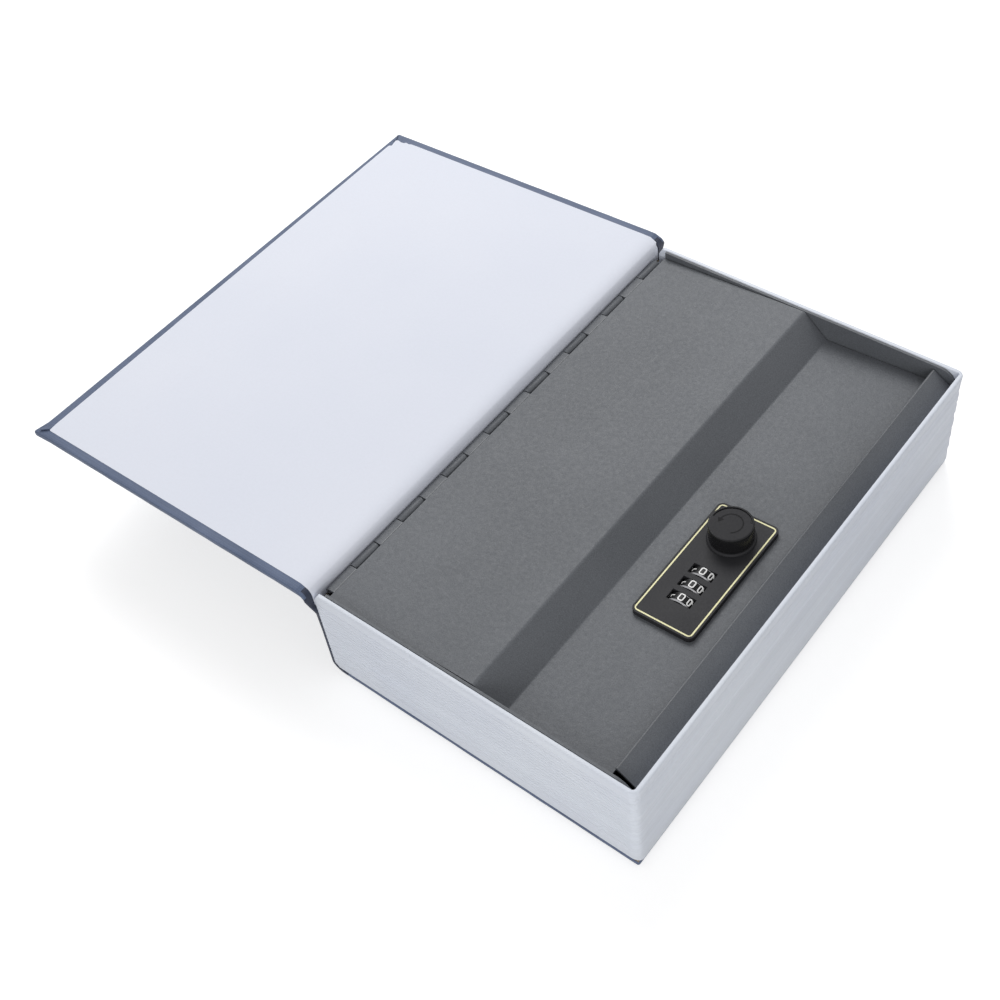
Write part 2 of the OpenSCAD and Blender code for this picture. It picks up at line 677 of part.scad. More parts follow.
module lock_body() color("darkslategray") on_lock() difference() {
    union() {
        block([-body_half_w, body_tail_y, body_low_z], [body_half_w, body_mid_y, body_top_z]);
        block([-body_half_w, body_mid_y, knob_body_z], [body_half_w, body_head_y, body_top_z]);
    }
    rod_y(0, dial_axis_z, wheel_room, -dial_back - wheels_half, -dial_back + wheels_half);
    block([-wheel_room, -dial_back - wheels_half, body_low_z - over],
        [wheel_room, -dial_back + wheels_half, dial_axis_z]);
    rod_y(0, dial_axis_z, axle_r + seat_gap, body_tail_y + body_wall, body_mid_y - body_wall);
    translate([0, 0, knob_body_z - over])
        cylinder(r = spindle_r + pin_clear, h = body_top_z - knob_body_z + 2 * over);
    for (at = screw_places()) translate([at[0], at[1], body_low_z - over])
        cylinder(r = screw_r + seat_gap, h = body_top_z - body_low_z + 2 * over);
}

module lock_back() color("gray") on_lock() difference() {
    block([-body_half_w, body_tail_y, body_low_z - back_t], [body_half_w, body_mid_y, body_low_z]);
    block([-tab_w / 2 - run_gap, slider_tab_y - run_gap, body_low_z - back_t - over],
        [tab_w / 2 + run_gap, slider_tab_y + tab_l + slider_travel + run_gap, body_low_z + over]);
    for (at = screw_places()) translate([at[0], at[1], body_low_z - back_t - over])
        cylinder(r = screw_r + seat_gap, h = back_t + 2 * over);
}

module lock_screws() color("silver") on_lock() for (at = screw_places()) translate([at[0], at[1], 0]) {
    low = body_low_z - back_t;
    translate([0, 0, low]) cylinder(r = screw_r, h = lower_z + plate_t / 2 - seat_gap - low);
    translate([0, 0, low - screw_head_h]) cylinder(r = 2 * screw_r, h = screw_head_h);
}

module wheel_axle() color("silver") on_lock()
    rod_y(0, dial_axis_z, axle_r, body_tail_y + body_wall + seat_gap, body_mid_y - body_wall - seat_gap);

// Leaf spring under the number wheels, one finger for each
module detent_spring() color("silver") on_lock() difference() {
    block([-wheel_room + seat_gap, -dial_back - wheels_half + seat_gap, spring_z],
        [wheel_room - seat_gap, -dial_back + wheels_half - seat_gap, spring_z + spring_t]);
    for (i = [-1, 1]) block([-wheel_room / 2, -dial_back + i * dial_pitch / 2 - spring_t, spring_z - over],
        [wheel_room, -dial_back + i * dial_pitch / 2 + spring_t, spring_z + spring_t + over]);
}

module reset_slider() color("gainsboro") on_lock() {
    top = spring_z - run_gap;
    block([-slider_half_w, slider_y, top - slider_plate_t], [slider_half_w, slider_y + slider_l, top]);
    block([-tab_w / 2, slider_tab_y, body_low_z - back_t - tab_h],
        [tab_w / 2, slider_tab_y + tab_l, top - slider_plate_t / 2]);
}

module number_wheel(i) color("black") on_lock() difference() {
    y = -dial_back + i * dial_pitch;
    rod_y(0, dial_axis_z, dial_r, y - dial_w / 2, y + dial_w / 2);
    rod_y(0, dial_axis_z, sleeve_r + seat_gap, y - dial_w / 2 - over, y + dial_w / 2 + over);
}

// Sleeve in a number wheel, with a notched disc on its head side
module wheel_sleeve(i) color("goldenrod") on_lock() difference() {
    y = -dial_back + i * dial_pitch;
    union() {
        rod_y(0, dial_axis_z, sleeve_r, y - dial_w / 2, y + dial_w / 2 + seat_gap);
        rod_y(0, dial_axis_z, disc_r, y + dial_w / 2 + seat_gap, y + dial_w / 2 + seat_gap + disc_t);
    }
    rod_y(0, dial_axis_z, axle_r + pin_clear, y - dial_w / 2 - over, y + dial_w / 2 + disc_t + over);
    block([-notch_w / 2, y + dial_w / 2 + seat_gap, dial_axis_z - disc_r - over],
        [notch_w / 2, y + dial_w / 2 + disc_t + over, dial_axis_z - sleeve_r]);
}

module dial_1() number_wheel(1);
module dial_2() number_wheel(0);
module dial_3() number_wheel(-1);
module dial_sleeve_1() wheel_sleeve(1);
module dial_sleeve_2() wheel_sleeve(0);
module dial_sleeve_3() wheel_sleeve(-1);

module knob() color("black") on_lock() difference() {
    translate([0, 0, knob_base_z]) rotate_extrude($fn = 72) polygon([[0, 0], [knob_r, 0],
        [knob_r, knob_top_z - knob_base_z - knob_edge], [knob_r - knob_edge, knob_top_z - knob_base_z],
        [0, knob_top_z - knob_base_z]]);
    translate([0, 0, knob_base_z - over])
        cylinder(r = spindle_r + seat_gap, h = over + knob_grip_h + seat_gap);
    // groove along the edge of the top, over a third of a turn
    translate([0, 0, knob_top_z - knob_groove_t]) rotate([0, 0, knob_groove_from])
        rotate_extrude(angle = knob_groove_turn, $fn = 72)
            translate([knob_r - 2 * knob_edge - knob_groove_t, 0])
                square([knob_groove_t, knob_groove_t + over]);
}

module spindle() color("silver") on_lock() {
    translate([0, 0, cam_z + cam_t]) cylinder(r = spindle_r, h = knob_base_z + knob_grip_h - cam_z - cam_t);
    low = cam_z - washer_t - nut_h - thread_out;
    translate([0, 0, low]) cylinder(r = thread_r, h = cam_z + cam_t + knob_grip_h - low);
}

// Cam, parked towards the head: a quarter turn brings it under the ledge
module cam() color("gray") on_lock() translate([0, 0, cam_z]) difference() {
    union() {
        cylinder(r = cam_w / 2, h = cam_t);
        translate([-cam_w / 2, 0, 0]) cube([cam_w, cam_l - cam_w / 2, cam_t]);
        translate([0, cam_l - cam_w / 2, 0]) cylinder(r = cam_w / 2, h = cam_t);
    }
    translate([0, 0, -over]) cylinder(r = thread_r + seat_gap, h = cam_t + 2 * over);
}

module cam_washer() color("silver") on_lock() translate([0, 0, cam_z - washer_t]) difference() {
    cylinder(r = washer_r, h = washer_t);
    translate([0, 0, -over]) cylinder(r = thread_r + seat_gap, h = washer_t + 2 * over);
}

module cam_nut() color("silver") on_lock() translate([0, 0, cam_z - washer_t - nut_h]) difference() {
    cylinder(r = nut_r, h = nut_h, $fn = 6);
    translate([0, 0, -over]) cylinder(r = thread_r + seat_gap, h = nut_h + 2 * over);
}

back_board();
case_cloth();
spine_board();
page_block();
steel_box();
front_ledge();
box_rivets();
hinge_pin();
joint_cloth();
gutter_paper();
front_board();
front_cloth();
front_endpaper();
lid_panel();
lock_plate();
gold_line();
knob_collar();
lock_body();
lock_back();
lock_screws();
wheel_axle();
detent_spring();
reset_slider();
dial_1();
dial_2();
dial_3();
dial_sleeve_1();
dial_sleeve_2();
dial_sleeve_3();
knob();
spindle();
cam();
cam_washer();
cam_nut();
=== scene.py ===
import json
from math import atan2, cos, pi, radians, sin, sqrt

import bmesh
import bpy
from mathutils import Matrix, Vector, noise


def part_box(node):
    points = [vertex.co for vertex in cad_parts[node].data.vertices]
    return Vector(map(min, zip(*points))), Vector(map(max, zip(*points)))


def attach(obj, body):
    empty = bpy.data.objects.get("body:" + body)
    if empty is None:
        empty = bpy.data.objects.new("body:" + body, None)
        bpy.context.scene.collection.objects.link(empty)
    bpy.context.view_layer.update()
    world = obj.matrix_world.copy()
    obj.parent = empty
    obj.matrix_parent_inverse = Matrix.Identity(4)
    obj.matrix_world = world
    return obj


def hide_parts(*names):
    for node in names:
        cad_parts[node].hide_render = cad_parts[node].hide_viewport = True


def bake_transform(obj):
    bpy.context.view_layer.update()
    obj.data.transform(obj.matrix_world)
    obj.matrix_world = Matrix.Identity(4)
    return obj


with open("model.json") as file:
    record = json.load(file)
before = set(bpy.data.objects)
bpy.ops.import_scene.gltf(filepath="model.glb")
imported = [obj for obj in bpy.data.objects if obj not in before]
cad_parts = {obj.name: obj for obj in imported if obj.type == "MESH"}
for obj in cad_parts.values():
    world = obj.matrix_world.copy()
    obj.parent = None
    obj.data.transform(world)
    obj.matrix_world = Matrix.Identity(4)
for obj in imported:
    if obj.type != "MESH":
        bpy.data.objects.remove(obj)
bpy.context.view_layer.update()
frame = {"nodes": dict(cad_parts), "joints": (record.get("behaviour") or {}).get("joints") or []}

# Sizes are in millimetres down to the camera, and MM turns them into the frame's metres
MM = 0.001


def box_of(node):
    low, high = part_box(node)
    return low / MM, high / MM


def joint_named(name):
    return next(joint for joint in frame["joints"] if joint["name"] == name)


def joint_at(name):
    return Vector(joint_named(name)["pos_m"]) / MM


# Sizes taken from the frame
block_low, block_high = box_of("page_block")
HALF_W = block_high.x
HALF_L = block_high.y
BASE_Z = block_low.z
RIM_Z = block_high.z
BOX_Z = box_of("steel_box")[0].z
hinge = joint_at("lid_hinge")
cover_hinge = joint_at("cover_hinge")
knob_axis = joint_at("knob_turn")
spine_top = box_of("spine_board")[1].z
gutter_low = box_of("gutter_paper")[0]
joint_low = box_of("joint_cloth")[0]
knob_way = joint_named("knob_turn")["axis"]
LID_TILT = atan2(knob_way[0], -knob_way[2])

# Sizes of the page block's wall and the covers
PAGE_WALL = 1.9
COVER_ANGLE = radians(181.8)
COVER_GAP = 0.3
OVERHANG = 3.5
BOARD_T = 2.8
CLOTH_T = 0.4
TURN_IN = 3.8
TURN_IN_TAIL = 4.4
TURN_IN_HEAD = 2.2
COVER_START_X = -HALF_W - 0.25
COVER_FORE_X = HALF_W + OVERHANG
COVER_HALF_L = HALF_L + OVERHANG
COVER_IN_Z = RIM_Z + COVER_GAP
SPINE_R = 6.8
SPINE_T = 1.8
EDGE_R = 0.8
BACK_TURN_IN = 12
SPINE_HALF_L = HALF_L + 0.1
SPINE_X = -HALF_W - SPINE_T


def smooth(low, high, value):
    t = min(max((value - low) / (high - low), 0), 1)
    return t * t * (3 - 2 * t)


def wobble(x, y=0.0, seed=0.0):
    """Smooth noise of about -1 to 1."""
    return noise.noise(Vector((x, y, seed * 7.31)))


# Materials


class Nodes:
    """A material's node tree, with short calls for what the surfaces here need."""

    def __init__(self, name):
        self.material = bpy.data.materials.new(name)
        self.material.use_nodes = True
        self.tree = self.material.node_tree
        self.shader = self.tree.nodes["Principled BSDF"]
        self.place = self.tree.nodes.new("ShaderNodeTexCoord").outputs["Object"]
        self.normal = None

    def link(self, output, socket):
        self.tree.links.new(output, socket)

    def scaled(self, scale):
        """Object coordinates, with a pattern's repeats per metre along x, y and z."""
        mapping = self.tree.nodes.new("ShaderNodeMapping")
        mapping.inputs["Scale"].default_value = scale
        self.link(self.place, mapping.inputs["Vector"])
        return mapping.outputs["Vector"]

    def grain(self, scale, detail=3.0, rough=0.5, distortion=0.0):
        if not hasattr(scale, "__len__"):
            scale = (scale, scale, scale)
        texture = self.tree.nodes.new("ShaderNodeTexNoise")
        texture.inputs["Scale"].default_value = 1.0
        texture.inputs["Detail"].default_value = detail
        texture.inputs["Roughness"].default_value = rough
        texture.inputs["Distortion"].default_value = distortion
        self.link(self.scaled(scale), texture.inputs["Vector"])
        return texture.outputs["Fac"]

    def threads(self, scale):
        """A weave: two sets of fine ribs, one along each way of the cloth."""
        ribs = []
        for way in ("X", "Y"):
            wave = self.tree.nodes.new("ShaderNodeTexWave")
            wave.bands_direction = way
            wave.inputs["Scale"].default_value = 1.0
            wave.inputs["Distortion"].default_value = 1.5
            wave.inputs["Detail"].default_value = 2.0
            self.link(self.scaled((scale, scale, scale)), wave.inputs["Vector"])
            ribs.append(wave.outputs["Fac"])
        return self.math("MULTIPLY", ribs[0], ribs[1])

    def math(self, operation, a, b):
        node = self.tree.nodes.new("ShaderNodeMath")
        node.operation = operation
        for socket, value in zip(node.inputs, (a, b)):
            if isinstance(value, (int, float)):
                socket.default_value = value
            else:
                self.link(value, socket)
        return node.outputs["Value"]

    def ranged(self, value, low, high, start=0.3, end=0.7):
        node = self.tree.nodes.new("ShaderNodeMapRange")
        node.inputs["From Min"].default_value = start
        node.inputs["From Max"].default_value = end
        node.inputs["To Min"].default_value = low
        node.inputs["To Max"].default_value = high
        self.link(value, node.inputs["Value"])
        return node.outputs["Result"]

    def colour(self, dark, light, value):
        mix = self.tree.nodes.new("ShaderNodeMix")
        mix.data_type = "RGBA"
        mix.inputs["A"].default_value = (*dark, 1)
        mix.inputs["B"].default_value = (*light, 1)
        self.link(value, mix.inputs["Factor"])
        return mix.outputs["Result"]

    def shade(self, colour, amount):
        """colour, times a value."""
        mix = self.tree.nodes.new("ShaderNodeMix")
        mix.data_type = "RGBA"
        mix.blend_type = "MULTIPLY"
        mix.inputs["Factor"].default_value = 1.0
        self.link(colour, mix.inputs["A"])
        self.link(amount, mix.inputs["B"])
        return mix.outputs["Result"]

    def bump(self, height, depth, strength=1.0):
        """Raises the surface by up to a depth in millimetres."""
        node = self.tree.nodes.new("ShaderNodeBump")
        node.inputs["Strength"].default_value = strength
        node.inputs["Distance"].default_value = depth * MM
        self.link(height, node.inputs["Height"])
        if self.normal is not None:
            self.link(self.normal, node.inputs["Normal"])
        self.normal = node.outputs["Normal"]

    def edges(self, radius):
        """0 on a flat face, rising to 1 along its sharp edges, for wear and for a painted highlight there.
        """
        bevel = self.tree.nodes.new("ShaderNodeBevel")
        bevel.samples = 4
        bevel.inputs["Radius"].default_value = radius * MM
        geometry = self.tree.nodes.new("ShaderNodeNewGeometry")
        dot = self.tree.nodes.new("ShaderNodeVectorMath")
        dot.operation = "DOT_PRODUCT"
        self.link(bevel.outputs["Normal"], dot.inputs[0])
        self.link(geometry.outputs["Normal"], dot.inputs[1])
        return self.ranged(dot.outputs["Value"], 1.0, 0.0, 0.8, 0.98)

    def finish(self, colour, rough, metallic=0.0, **fixed):
        sockets = self.shader.inputs
        for socket, value in (("Base Color", colour), ("Roughness", rough)):
            if isinstance(value, (int, float)):
                sockets[socket].default_value = value
            else:
                self.link(value, sockets[socket])
        sockets["Metallic"].default_value = metallic
        for name, value in fixed.items():
            sockets[name.replace("_", " ")].default_value = value
        if self.normal is not None:
            self.link(self.normal, sockets["Normal"])
        return self.material


def powder_coat(name, dark, light):
    m = Nodes(name)
    peel = m.grain(620, 2.0, 0.45, 0.3)
    speck = m.grain(2600, 2.0, 0.6)
    cloud = m.grain(14, 3.0)
    tone = m.colour(dark, light, m.ranged(cloud, 0, 1))
    tone = m.shade(tone, m.ranged(speck, 0.80, 1.20))
    # sharp edges are lighter: partly wear, partly a painted highlight
    edge_wear_and_highlight = m.colour((1, 1, 1), (1.35, 1.35, 1.35), m.edges(0.5))
    m.bump(peel, 0.10)
    m.bump(speck, 0.035)
    return m.finish(m.shade(tone, edge_wear_and_highlight), m.ranged(peel, 0.38, 0.5), Specular_IOR_Level=0.22)


def endpaper_white():
    m = Nodes("endpaper_white")
    fibre = m.grain(900, 4.0, 0.65)
    cloud = m.grain(9, 3.0)
    tone = m.colour((0.785, 0.815, 0.910), (0.825, 0.850, 0.935), m.ranged(cloud, 0, 1))
    tone = m.shade(tone, m.ranged(fibre, 0.985, 1.01))
    m.bump(m.grain(60, 2.0), 0.12)
    m.bump(fibre, 0.012)
    return m.finish(tone, m.ranged(fibre, 0.72, 0.85), Specular_IOR_Level=0.3)


def page_moulding():
    m = Nodes("page_moulding")
    streak = m.grain((9, 9, 1500), 3.0, 0.6)
    broad = m.grain((4, 4, 240), 3.0)
    cloud = m.grain(18, 3.0)
    tone = m.colour((0.74, 0.78, 0.87), (0.80, 0.84, 0.91), m.ranged(cloud, 0, 1))
    tone = m.shade(tone, m.ranged(streak, 0.955, 1.03))
    tone = m.shade(tone, m.ranged(broad, 0.95, 1.03))
    m.bump(streak, 0.025)
    m.bump(broad, 0.05)
    return m.finish(tone, m.ranged(streak, 0.42, 0.6), Specular_IOR_Level=0.4)


def book_cloth(name, dark, light):
    m = Nodes(name)
    weave = m.threads(330)
    slub = m.grain((60, 900, 60), 3.0)
    cloud = m.grain(35, 4.0)
    tone = m.colour(dark, light, m.ranged(cloud, 0, 1))
    tone = m.shade(tone, m.ranged(weave, 0.84, 1.1, 0.0, 1.0))
    tone = m.shade(tone, m.ranged(slub, 0.92, 1.08))
    m.bump(weave, 0.06)
    m.bump(slub, 0.04)
    return m.finish(tone, m.ranged(weave, 0.62, 0.8, 0, 1), Sheen_Weight=0.12, Sheen_Roughness=0.5)


def grey_board():
    m = Nodes("grey_board")
    fibre = m.grain((300, 300, 2500), 4.0, 0.65)
    tone = m.colour((0.26, 0.20, 0.13), (0.42, 0.35, 0.25), m.ranged(fibre, 0, 1))
    m.bump(fibre, 0.08)
    return m.finish(tone, 0.85)


def plated_steel(name, light, rough=0.32):
    m = Nodes(name)
    brushed = m.grain((900, 900, 120), 3.0)
    cloud = m.grain(60, 3.0)
    tone = m.colour([c * 0.8 for c in light], light, m.ranged(cloud, 0, 1))
    m.bump(brushed, 0.01)
    return m.finish(tone, m.ranged(brushed, rough - 0.08, rough + 0.08), 1.0)


def moulded(name, dark, light, rough, grain_depth=0.03, **fixed):
    """A moulded plastic or satin-painted face with a fine texture."""
    m = Nodes(name)
    fine = m.grain(1900, 2.0)
    cloud = m.grain(45, 3.0)
    tone = m.colour(dark, light, m.ranged(cloud, 0, 1))
    # sharp edges are lighter: partly wear, partly a painted highlight
    edge_wear_and_highlight = m.colour((1, 1, 1), (1.6, 1.6, 1.6), m.edges(0.25))
    m.bump(fine, grain_depth)
    return m.finish(m.shade(tone, edge_wear_and_highlight), m.ranged(fine, rough - 0.05, rough + 0.05), **fixed)


def gold_paint():
    m = Nodes("gold_paint")
    fine = m.grain(1500, 2.0)
    tone = m.colour((0.90, 0.86, 0.47), (1.0, 0.97, 0.64), m.ranged(fine, 0, 1))
    m.bump(fine, 0.002)
    return m.finish(tone, m.ranged(fine, 0.36, 0.44), 0.0, Specular_IOR_Level=0.2)


STEEL = powder_coat("powder_coat", (0.110, 0.117, 0.129), (0.138, 0.146, 0.160))
# a lighter copy of the powder coat, for painted highlights along edges
STEEL_PAINTED_HIGHLIGHT = powder_coat("powder_coat_painted_highlight", (0.16, 0.165, 0.175), (0.22, 0.225, 0.235))
PAPER = endpaper_white()
PAGES = page_moulding()
CLOTH = book_cloth("book_cloth", (0.085, 0.118, 0.203), (0.130, 0.168, 0.268))
# a much darker copy of the cloth: painted shade on the joint below the rim
CLOTH_PAINTED_SHADE = book_cloth("book_cloth_painted_shade", (0.012, 0.018, 0.040), (0.026, 0.036, 0.075))
BOARD = grey_board()
ZINC = plated_steel("zinc_plate", (0.62, 0.62, 0.60))
SPRING = plated_steel("spring_strip", (0.55, 0.55, 0.56), 0.22)
BRASS = plated_steel("turned_brass", (0.72, 0.52, 0.22), 0.26)
GOLD = gold_paint()
PLATE = moulded("lock_plate_black", (0.022, 0.022, 0.025), (0.031, 0.031, 0.034), 0.5,
                Specular_IOR_Level=0.15)
CASE = moulded("lock_case_black", (0.010, 0.010, 0.011), (0.018, 0.018, 0.020), 0.5, 0.05)
KNOB = moulded("knob_black", (0.012, 0.012, 0.013), (0.014, 0.014, 0.015), 0.24, 0.01,
               Specular_IOR_Level=0.2)
KNOB_TOP = moulded("knob_top_black", (0.015, 0.015, 0.017), (0.021, 0.021, 0.024), 0.45, 0.02,
                   Specular_IOR_Level=0.1)
MARK = moulded("knob_mark_grey", (0.006, 0.006, 0.007), (0.010, 0.010, 0.011), 0.4, 0.01,
               Specular_IOR_Level=0.05)
PIN = plated_steel("hinge_pin_black", (0.03, 0.03, 0.033), 0.4)
WHEEL = moulded("wheel_gloss_black", (0.006, 0.006, 0.007), (0.010, 0.010, 0.011), 0.3, 0.006,
                Specular_IOR_Level=0.15)
WHEEL_RIM = moulded("wheel_rim_grey", (0.42, 0.42, 0.44), (0.52, 0.52, 0.54), 0.3, 0.006)
DIGIT = moulded("digit_white", (0.74, 0.74, 0.74), (0.84, 0.84, 0.83), 0.4, 0.006)
SLIDER = moulded("slider_white", (0.66, 0.66, 0.63), (0.74, 0.74, 0.71), 0.42)


# Meshes


def piece(name, points, faces, materials, body=None, sharp=38):
    """A mesh object from points in millimetres, smooth but for edges sharper than an angle."""
    mesh = bpy.data.meshes.new(name)
    mesh.from_pydata([Vector(p) * MM for p in points], [], faces)
    mesh.validate()
    for material in materials if isinstance(materials, list) else [materials]:
        mesh.materials.append(material)
    mesh.polygons.foreach_set("use_smooth", [True] * len(mesh.polygons))
    mesh.set_sharp_from_angle(angle=radians(sharp))
    ob = bpy.data.objects.new(name, mesh)
    bpy.context.scene.collection.objects.link(ob)
    if body:
        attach(ob, body)
    return ob


def grid(rows, columns, start=0, close_rows=False, close_columns=False):
    """Faces of a grid of points, stored row by row."""
    faces = []
    for i in range(rows if close_rows else rows - 1):
        for j in range(columns if close_columns else columns - 1):
            a = start + i * columns
            b = start + (i + 1) % rows * columns
            k = (j + 1) % columns
            faces.append((a + j, a + k, b + k, b + j))
    return faces


def lathe(profile, steps):
    """Points and faces of a closed profile of (radius, height) turned round z."""
    points = []
    for i in range(steps):
        turn = 2 * pi * i / steps
        points += [(r * cos(turn), r * sin(turn), z) for r, z in profile]
    return points, grid(steps, len(profile), 0, True, True)


def soften(ob, width):
    """Rounds a piece's sharp edges by a width in millimetres."""
    bevel = ob.modifiers.new("edges", "BEVEL")
    bevel.width = width * MM
    bevel.segments = 2
    bevel.limit_method = "ANGLE"
    bevel.angle_limit = radians(32)
    bevel.harden_normals = True


def thicken(ob, thickness, offset=-1):
    """Gives a sheet its thickness: behind its faces, or to both sides alike with an offset of 0."""
    solid = ob.modifiers.new("thickness", "SOLIDIFY")
    solid.thickness = thickness * MM
    solid.offset = offset
    solid.use_even_offset = True


# Page block


def page_block():
    """A tray with grooved walls: one ring of points is the wall's section at each place round it."""
    corner_r, arc_steps = 3.5, 9
    floor_in = 6.0
    # the bands between the grooves, and the smooth band below the rim
    bands, pitch, groove_h, rim_band = 18, 2.2, 0.5, 5.6
    # radii of the bottom edge on the end walls and the fore wall, and of the bottom and top at the spine
    end_r, fore_r, spine_r, top_r = 3.5, 1.6, 5.0, 3.6
    rim_out_r, rim_in_r = 0.7, 0.4
    relief, relief_arc = 0.75, 25
    side_steps, fore_steps = 90, 110
    # a band's section: height above the groove's bottom, and share of the groove's depth
    groove = ((-pitch + groove_h * 2.2, 0.0), (-groove_h * 0.15, 0.0), (0.04, 0.8), (groove_h - 0.1, 1.0),
              (groove_h, 0.0))
    places = [("tail", i / side_steps) for i in range(side_steps)]
    places += [("turn_a", -90 + 90 * i / arc_steps) for i in range(arc_steps)]
    places += [("fore", i / fore_steps) for i in range(fore_steps)]
    places += [("turn_b", 90 * i / arc_steps) for i in range(arc_steps)]
    places += [("head", 1 - i / side_steps) for i in range(side_steps + 1)]

    def plan(place, inset):
        side, at = place
        m = max(corner_r, inset)
        r = max(corner_r - inset, 0)
        if side == "tail":
            return -HALF_W + at * (2 * HALF_W - m), -HALF_L + inset
        if side == "head":
            return -HALF_W + at * (2 * HALF_W - m), HALF_L - inset
        if side == "fore":
            return HALF_W - inset, (2 * at - 1) * (HALF_L - m)
        sign = -1 if side == "turn_a" else 1
        x = HALF_W - m + r * cos(radians(at))
        y = sign * (HALF_L - m) + r * sin(radians(at))
        if r > 0 and inset > corner_r / 2:
            # the box's square corner stands in the wall's inner corner, with a round relief
            reach = r / max(abs(cos(radians(at))), abs(sin(radians(at))), 0.01)
            reach += relief * max(0, 1 - abs(abs(at) - 45) / relief_arc)
            x = HALF_W - m + reach * cos(radians(at))
            y = sign * (HALF_L - m) + reach * sin(radians(at))
        return x, y

    def fore_share(place):
        """0 on the end walls, 1 on the fore wall."""
        side, at = place
        if side in ("tail", "head"):
            return 0.5 * smooth(0.965, 1.0, at)
        if side == "turn_a":
            return 0.5 + 0.5 * smooth(-90, 0, at)
        if side == "turn_b":
            return 1 - 0.5 * smooth(0, 90, at)
        return 1.0

    def section(place):
        side, at = place
        fore = fore_share(place)
        x, y = plan(place, 0)
        bottom_r = end_r + (fore_r - end_r) * smooth(0.5, 1, fore)
        dip = -1.0 * smooth(0.0, 0.5, fore) * (1 - smooth(0.6, 1.0, fore)) - 0.5 * smooth(0.8, 1, fore)
        ring = [(floor_in, BASE_Z)]
        for i in range(6):
            turn = radians(90 * i / 5)
            ring.append((bottom_r * (1 - sin(turn)), BASE_Z + bottom_r * (1 - cos(turn))))
        for i in range(bands):
            top = RIM_Z - rim_band - (bands - 1 - i) * pitch
            s = x if side in ("tail", "head") else y
            # a groove sways along the wall, and the fore wall's bands swell and sink as well
            sway = 0.16 * wobble(s / 23, i * 1.7, 1) + dip * smooth(RIM_Z - 46, RIM_Z - 20, top)
            fine = (0.27 + 0.07 * wobble(s / 15, i * 3.1, 2)) * (1 - fore) + 0.10 * fore
            depth = max(fine, 0.03)
            phase = top * 0.83 + 0.5 * sin(top * 0.31) + 0.4 * wobble(s / 60, 0, 3)
            swell = 0.42 * fore * (0.5 + 0.5 * sin(phase))
            page = 0.05 * wobble(s / 31, i * 2.3, 4) * (1 - fore)
            low = top - groove_h + sway
            for rise, share in groove:
                ring.append((max(swell + page + depth * share, 0), low + rise))
        for i in range(4):
            turn = radians(90 * i / 3)
            ring.append((rim_out_r * (1 - cos(turn)), RIM_Z - rim_out_r * (1 - sin(turn))))
        for i in range(3):
            turn = radians(90 * i / 2)
            ring.append((PAGE_WALL - rim_in_r * (1 - sin(turn)), RIM_Z - rim_in_r * (1 - cos(turn))))
        ring += [(PAGE_WALL, BOX_Z), (floor_in, BOX_Z)]
        points = []
        for inset, z in ring:
            px, py = plan(place, inset)
            from_spine = px + HALF_W
            high, low = RIM_Z, BASE_Z
            if from_spine < top_r:
                high = RIM_Z - top_r + sqrt(top_r ** 2 - (top_r - from_spine) ** 2)
            if from_spine < spine_r:
                low = BASE_Z + spine_r - sqrt(spine_r ** 2 - (spine_r - from_spine) ** 2)
            points.append((px, py, min(max(z, low), high)))
        return points

    sections = [section(place) for place in places]
    n = len(sections[0])
    points = [p for ring in sections for p in ring]
    faces = grid(len(sections), n, 0, False, True)
    faces.append(tuple(range(n)))
    faces.append(tuple(reversed(range(len(points) - n, len(points)))))

    def slab(low, high):
        start = len(points)
        points.extend((x, y, z) for z in (low[2], high[2]) for x, y in
                      ((low[0], low[1]), (high[0], low[1]), (high[0], high[1]), (low[0], high[1])))
        faces.extend(tuple(start + i for i in f) for f in
                     ((3, 2, 1, 0), (4, 5, 6, 7), (0, 1, 5, 4), (1, 2, 6, 5), (2, 3, 7, 6), (3, 0, 4, 7)))

    inner_l = HALF_L - PAGE_WALL
    spine_strip_t = 0.8
    slab((-HALF_W + spine_r, -HALF_L + floor_in, BASE_Z), (HALF_W - floor_in, HALF_L - floor_in, BOX_Z))
    slab((-HALF_W, -inner_l, BASE_Z + spine_r), (-HALF_W + spine_strip_t, inner_l, spine_top))
    ob = piece("page_block_moulding", points, faces, PAGES, "book", 55)
    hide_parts("page_block")


# Covers


def on_open(x, y, z):
    """A place on the closed cover, moved to the open cover."""
    dx, dz = x - cover_hinge.x, z - cover_hinge.z
    c, s = cos(COVER_ANGLE), sin(COVER_ANGLE)
    return (cover_hinge.x + dx * c - dz * s, y, cover_hinge.z + dx * s + dz * c)


def front_place(x, y, depth):
    """A place on the front cover: depth runs from its inner face, with the endpaper, to its outer face."""
    return on_open(x, y, COVER_IN_Z + depth)


def back_place(x, y, depth):
    return (x, y, BASE_Z - depth)


def edge_section(thickness, turn_in):
    """Cloth round a board's edge: (inset, depth) from the turn-in's free edge to the outer face."""
    section = [(turn_in, 0.0), (EDGE_R * 1.6, 0.0)]
    section += [(EDGE_R * (1 - sin(radians(a))), EDGE_R * (1 - cos(radians(a)))) for a in (15, 40, 65, 90)]
    section += [(EDGE_R * (1 - cos(radians(a))), thickness - EDGE_R * (1 - sin(radians(a))))
                for a in (0, 25, 50, 75, 90)]
    section.append((EDGE_R + 3.0, thickness))
    return section


